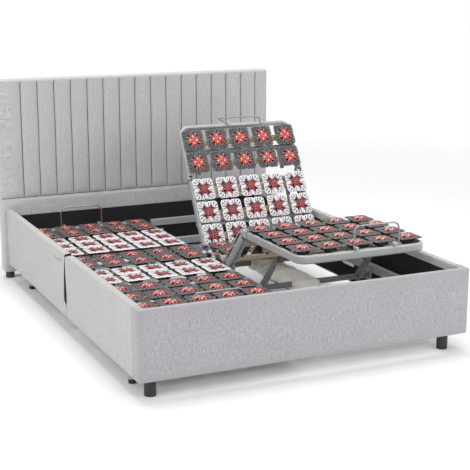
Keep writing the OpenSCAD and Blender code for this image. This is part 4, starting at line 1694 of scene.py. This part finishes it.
        self.lining("foot_board_lining", (-side, face, low[2] + self.lining_rise),
                    (side, face, self.lip), 1.0, ())

    def lining(self, name: str, low: Sequence[float], high: Sequence[float], inward: float,
               flush: Sequence[tuple[float, float]]) -> None:
        """Builds one stretched sheet of black lining on the inside of a board.

        Args:
            name: The piece's name.
            low: Its lowest corner; the sheet is flat in x or in y.
            high: Its highest corner.
            inward: +1 or -1, the way into the box along the flat axis.
            flush: Stretches along the sheet where steel plates press it flat.
        """
        flat = 0 if low[0] == high[0] else 1
        run = 1 - flat
        rows = []
        for z in spread(low[2], high[2] - 0.0006, 0.03):
            row = []
            for r in spread(low[run], high[run], 0.02):
                free = min([1.0] + [max(0.0, min(1.0, max(a - r, r - b) / 0.03 - 0.7))
                                    for a, b in flush])
                slack = 0.0014 * free * max(0.0, noise.noise(Vector((r * 6, z * 9, 3.0))) + 0.2)
                spot = [0.0, 0.0, z]
                spot[run] = r
                spot[flat] = low[flat] + inward * slack
                row.append(spot)
            rows.append(row)
        shell = Shell()
        shell.grid(rows)
        piece = shell.build(name, [Finishes.LINING], 60.0)
        keep(piece, ROOT, "black_lining")

    def build(self) -> None:
        """Builds all covers and linings and dresses the boards."""
        self.foot()
        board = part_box("side_rail_boards")[1][0] - 0.0300
        plates = [(low[1], high[1]) for low, high in (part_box("joint_plates"),
                                                      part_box("headboard_brackets"))]
        for side in Side:
            self.rails(side)
            low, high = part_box(f"{side.value}_rail_covers")
            face = -board if side is Side.LEFT else board
            inward = 1.0 if side is Side.LEFT else -1.0
            self.lining(f"{side.value}_rail_lining",
                        (face, low[1] + 0.002, low[2] + self.lining_rise),
                        (face, high[1] - 0.016, self.lip), inward, plates)
        low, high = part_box("head_cross_panel")
        corner = high[0] - 0.06
        self.lining("head_panel_lining", (low[0] + 0.001, low[1] - 0.0001, low[2] + 0.001),
                    (high[0] - 0.001, low[1] - 0.0001, high[2]), -1.0,
                    ((-2.0, -corner), (corner, 2.0)))
        for node in ("side_rail_boards", "foot_board_panel", "head_cross_panel"):
            dress(node, Finishes.LINING)
        dress("corner_blocks", Finishes.BLOCK)
        dress("corner_feet", Finishes.FEET)
        for node in ("joint_plates", "headboard_brackets", "joint_bolts"):
            dress(node, Finishes.ZINC)


@dataclass
class Frames:
    """The steel frames, pins, lifts and retainers, which keep their solids.

    Attributes:
        shared: The nodes that both bases share, each with its finish.
        paired: The nodes that each base has, named without its side.
    """

    shared: tuple[tuple[str, Finishes], ...] = (
        ("base_legs", Finishes.FIXED_FRAME), ("leg_glides", Finishes.BLACK),
        ("seat_slat_rests", Finishes.BLACK), ("section_pins", Finishes.ZINC))
    paired: tuple[tuple[str, Finishes], ...] = (
        ("base_frame", Finishes.FIXED_FRAME), ("neck_frame", Finishes.SECTION_FRAME),
        ("back_frame", Finishes.SECTION_FRAME), ("thigh_frame", Finishes.SECTION_FRAME),
        ("leg_frame", Finishes.SECTION_FRAME), ("neck_pins", Finishes.ZINC),
        ("knee_pins", Finishes.ZINC), ("head_lift", Finishes.LIFT),
        ("leg_lift", Finishes.LIFT), ("head_retainer", Finishes.WIRE),
        ("foot_retainer", Finishes.WIRE))

    def build(self) -> None:
        """Dresses every carried-over metal node."""
        for node, finish in self.shared:
            dress(node, finish)
        for side in Side:
            for name, finish in self.paired:
                dress(f"{side.value}_{name}", finish)


@dataclass
class DriveUnit:
    """The twin-motor drive that lies along each base.

    Attributes:
        side: The base it belongs to.
        lobes: How many swellings the housing has along its length.
        crown: The housing's height.
        around: How many points go round the housing.
        end_round: The length over which each end closes.
        rib_count: How many ribs cross the top.
        can_gap: How far each motor can's middle is from the housing's.
        can_profile: (radius, distance along it) points of a motor can.
        hook_spots: Where the cord hooks stand, from the housing's middle.
        hook_wire: The radius of their wire.
    """

    side: Side
    lobes: int = 5
    crown: float = 0.078
    around: int = 28
    end_round: float = 0.05
    rib_count: int = 22
    can_gap: float = 0.12
    can_profile: Profile = ((0.0001, -0.08), (0.026, -0.08), (0.031, -0.076), (0.032, -0.07),
                            (0.032, 0.07), (0.031, 0.076), (0.026, 0.08), (0.0001, 0.08))
    hook_spots: Profile = ((-0.022, -0.05), (0.018, -0.02), (-0.012, 0.04), (0.026, 0.07))
    hook_wire: float = 0.0024

    def __post_init__(self) -> None:
        """Reads the housing's box."""
        self.node = f"{self.side.value}_drive_unit"
        self.low, self.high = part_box(self.node)
        self.middle = (self.low[0] + self.high[0]) / 2
        self.floor = self.high[2] - self.crown

    def girth(self, y: float) -> tuple[float, float]:
        """Measures the housing at a place along it.

        Args:
            y: The place.

        Returns:
            Half its width and its height there.
        """
        share = (y - self.low[1]) / (self.high[1] - self.low[1])
        wave = abs(math.sin(math.pi * share * self.lobes)) ** 0.6
        end = min(y - self.low[1], self.high[1] - y)
        shut = max(0.0, self.end_round - end) / self.end_round
        closed = math.sqrt(max(0.0, 1.0 - shut ** 2))
        half = (self.high[0] - self.low[0]) / 2 * (0.80 + 0.20 * wave) * (0.25 + 0.75 * closed)
        swell = noise.noise(Vector((0.3, y * 14.0, self.middle))) * 0.05
        tall = self.crown * (0.86 + 0.10 * wave + swell) * (0.35 + 0.65 * closed)
        return half, min(tall, self.crown - 0.004)

    def ring(self, y: float, grow: float, start: float, end: float,
             count: int) -> list[tuple[float, float, float]]:
        """Lists points round the housing at one place.

        Args:
            y: The place along the housing.
            grow: How far outside the housing they lie.
            start: The first point's angle, in degrees.
            end: The last point's angle, in degrees.
            count: How many points there are.

        Returns:
            The points.
        """
        half, tall = self.girth(y)
        points = []
        for k in range(count):
            a = math.radians(start + (end - start) * k / max(1, count - 1))
            c, d = math.cos(a), math.sin(a)
            across = math.copysign(abs(c) ** 0.6, c) * (half + grow)
            up = math.copysign(abs(d) ** 0.6, d) * (tall / 2 + grow)
            points.append((self.middle + across, y, self.floor + tall / 2 + up))
        return points

    def ribs(self) -> Shell:
        """Builds the raised ribs over the housing's top.

        Returns:
            The ribs.
        """
        made = Shell()
        span = self.high[1] - self.low[1]
        for k in range(self.rib_count):
            y = self.low[1] + span * (0.10 + 0.80 * k / (self.rib_count - 1))
            reach = 34.0 + 24.0 * (k % 3)
            strip = Shell()
            strip.grid([self.ring(y + dy, grow, 90.0 - reach, 90.0 + reach, 13)
                        for dy, grow in ((-0.0026, 0.0002), (-0.0012, 0.0032),
                                         (0.0012, 0.0032), (0.0026, 0.0002))])
            made.merge(strip.thickened(0.0012))
        return made

    def hooks(self) -> Shell:
        """Builds the curled cord hooks on the housing's top.

        Returns:
            The hooks.
        """
        made = Shell()
        for k, (dx, dy) in enumerate(self.hook_spots):
            y = (self.low[1] + self.high[1]) / 2 + dy
            top = self.floor + self.girth(y)[1] - 0.001
            rows = []
            for i in range(11):
                a = math.radians(-35.0 + 25.0 * i)
                centre = Vector((0.011 * math.cos(a), 0.015 * math.sin(a), 0.0))
                out = centre.normalized()
                rows.append([centre + out * (self.hook_wire * math.cos(b))
                             + Vector((0.0, 0.0, self.hook_wire * math.sin(b)))
                             for b in (2 * math.pi * j / 8 for j in range(8))])
            loop = Shell()
            loop.grid(rows, closed=True)
            made.merge(loop, Matrix.Translation((self.middle + dx, y, top))
                       @ Matrix.Rotation(0.7 * k, 4, "Z"))
        return made

    def build(self) -> None:
        """Builds the housing with its ribs, hooks and motor cans."""
        shell = Shell()
        ys = spread(self.low[1], self.high[1], 0.0125, 0.02)
        shell.grid([self.ring(y, 0.0, 0.0, 360.0 * (1 - 1 / self.around), self.around)
                    for y in ys], closed=True)
        last = self.around * (len(ys) - 1)
        shell.faces.append(tuple(range(self.around)))
        shell.faces.append(tuple(range(last, last + self.around)))
        shell.marks += [0, 0]
        shell.merge(self.ribs())
        shell.merge(self.hooks())
        cans = Shell()
        for s in (-1, 1):
            y = (self.low[1] + self.high[1]) / 2 + s * self.can_gap
            place = (Matrix.Translation((self.middle, y, self.floor))
                     @ Matrix.Rotation(math.pi / 2, 4, "X"))
            cans.merge(lathe(self.can_profile, 40), place)
        keep(shell.build(f"{self.node}_housing", [Finishes.HOUSING], 55.0, weld=False), ROOT,
             "drive_housing", self.node)
        keep(cans.build(f"{self.node}_cans", [Finishes.BLACK], 35.0, weld=False), ROOT,
             "drive_housing", self.node)


# ------------------------------------------------------------- studio and main


@dataclass(frozen=True)
class Lamp:
    """A square soft lamp that faces the bed.

    Attributes:
        name: Its name.
        spot: Where it hangs.
        size: The length of its side.
        power: Its power, in watts.
    """

    name: str
    spot: Point
    size: float
    power: float


@dataclass
class Studio:
    """Floor, backdrop, lamps and camera.

    Attributes:
        eye: Where the camera stands.
        yaw: How far it turns to the right of +y, in degrees.
        dip: How far it looks down, in degrees.
        lens: Its focal length, in millimetres.
        glow: The world's strength as a light.
        floor_half: Half the floor's width.
        floor_clear: The distance at which the floor has faded out.
        floor_solid: The distance up to which it is solid.
        lamp_aim: The point that the lamps face.
        lamp_set: The lamps.
    """

    eye: Point = (-2.396, -5.5016, 1.8142)
    yaw: float = 24.762
    dip: float = 13.163
    lens: float = 88.28
    glow: float = 0.62
    floor_half: float = 30.0
    floor_clear: float = 6.5
    floor_solid: float = 2.6
    lamp_aim: Point = (0.0, 0.0, 0.4)
    lamp_set: tuple[Lamp, ...] = (Lamp("key", (-1.5, -6.5, 4.5), 4.0, 88.0),
                                  Lamp("side", (-4.8, -1.8, 2.9), 1.8, 62.0),
                                  Lamp("fill", (3.2, -4.4, 2.2), 2.0, 60.0),
                                  Lamp("top", (0.0, 0.9, 6.0), 4.0, 205.0))

    def camera(self) -> None:
        """Places the camera."""
        data = bpy.data.cameras.new("camera")
        data.lens = self.lens
        data.sensor_width = 36.0
        data.clip_end = 60.0
        made = bpy.data.objects.new("camera", data)
        yaw, dip = math.radians(self.yaw), math.radians(self.dip)
        look = Vector((math.sin(yaw) * math.cos(dip), math.cos(yaw) * math.cos(dip),
                       -math.sin(dip)))
        made.location = self.eye
        made.rotation_euler = look.to_track_quat("-Z", "Y").to_euler()
        bpy.context.scene.collection.objects.link(made)
        bpy.context.scene.camera = made

    def floor(self) -> None:
        """Builds the white floor, which keeps the bed's shadow and fades out far away."""
        size = self.floor_half
        mesh = bpy.data.meshes.new("floor")
        mesh.from_pydata([(-size, -size, 0), (size, -size, 0), (size, size, 0),
                          (-size, size, 0)], [], [(0, 1, 2, 3)])
        made = bpy.data.objects.new("floor", mesh)
        made.location.z = -0.0005
        bpy.context.scene.collection.objects.link(made)
        material = bpy.data.materials.new("floor_white")
        material.use_nodes = True
        g = Graph(material.node_tree)
        shader = next(n for n in g.tree.nodes if n.type == "BSDF_PRINCIPLED")
        shader.inputs["Base Color"].default_value = (0.95, 0.95, 0.95, 1.0)
        shader.inputs["Roughness"].default_value = 0.9
        shader.inputs["Specular IOR Level"].default_value = 0.1
        place = g.add("ShaderNodeTexCoord").outputs["Object"]
        far = g.add("ShaderNodeVectorMath", {0: place}, operation="LENGTH").outputs["Value"]
        g.tree.links.new(g.ramp(far, self.floor_clear, self.floor_solid),
                         shader.inputs["Alpha"])
        mesh.materials.append(material)

    def lamps(self) -> None:
        """Adds broad soft lamps and an even white world."""
        for lamp in self.lamp_set:
            data = bpy.data.lights.new(lamp.name, "AREA")
            data.size = lamp.size
            data.energy = lamp.power
            made = bpy.data.objects.new(lamp.name, data)
            made.location = lamp.spot
            look = Vector(self.lamp_aim) - Vector(lamp.spot)
            made.rotation_euler = look.to_track_quat("-Z", "Y").to_euler()
            bpy.context.scene.collection.objects.link(made)
        world = bpy.data.worlds.new("studio")
        world.use_nodes = True
        g = Graph(world.node_tree)
        g.tree.nodes.clear()
        path = g.add("ShaderNodeLightPath")
        seen = g.math("MAXIMUM", path.outputs["Is Camera Ray"],
                      g.math("MAXIMUM", path.outputs["Is Glossy Ray"],
                             path.outputs["Is Transmission Ray"]))
        strength = g.math("ADD", g.math("MULTIPLY", seen, 1.0 - self.glow), self.glow)
        back = g.add("ShaderNodeBackground", {"Color": (1, 1, 1, 1), "Strength": strength})
        out = g.add("ShaderNodeOutputWorld")
        g.tree.links.new(back.outputs[0], out.inputs[0])
        bpy.context.scene.world = world

    def build(self) -> None:
        """Builds the whole studio."""
        bpy.context.scene.view_settings.view_transform = "Standard"
        self.camera()
        self.floor()
        self.lamps()


def main() -> None:
    """Builds the studio and every sub-assembly."""
    logging.basicConfig(level=logging.INFO, format="%(name)s: %(message)s")
    Studio().build()
    layout = Layout()
    Headboard().build()
    BoxCovers().build()
    Frames().build()
    Slats(layout).build()
    Plots(layout).build()
    for side in Side:
        DriveUnit(side).build()


if __name__ == "__main__":
    main()
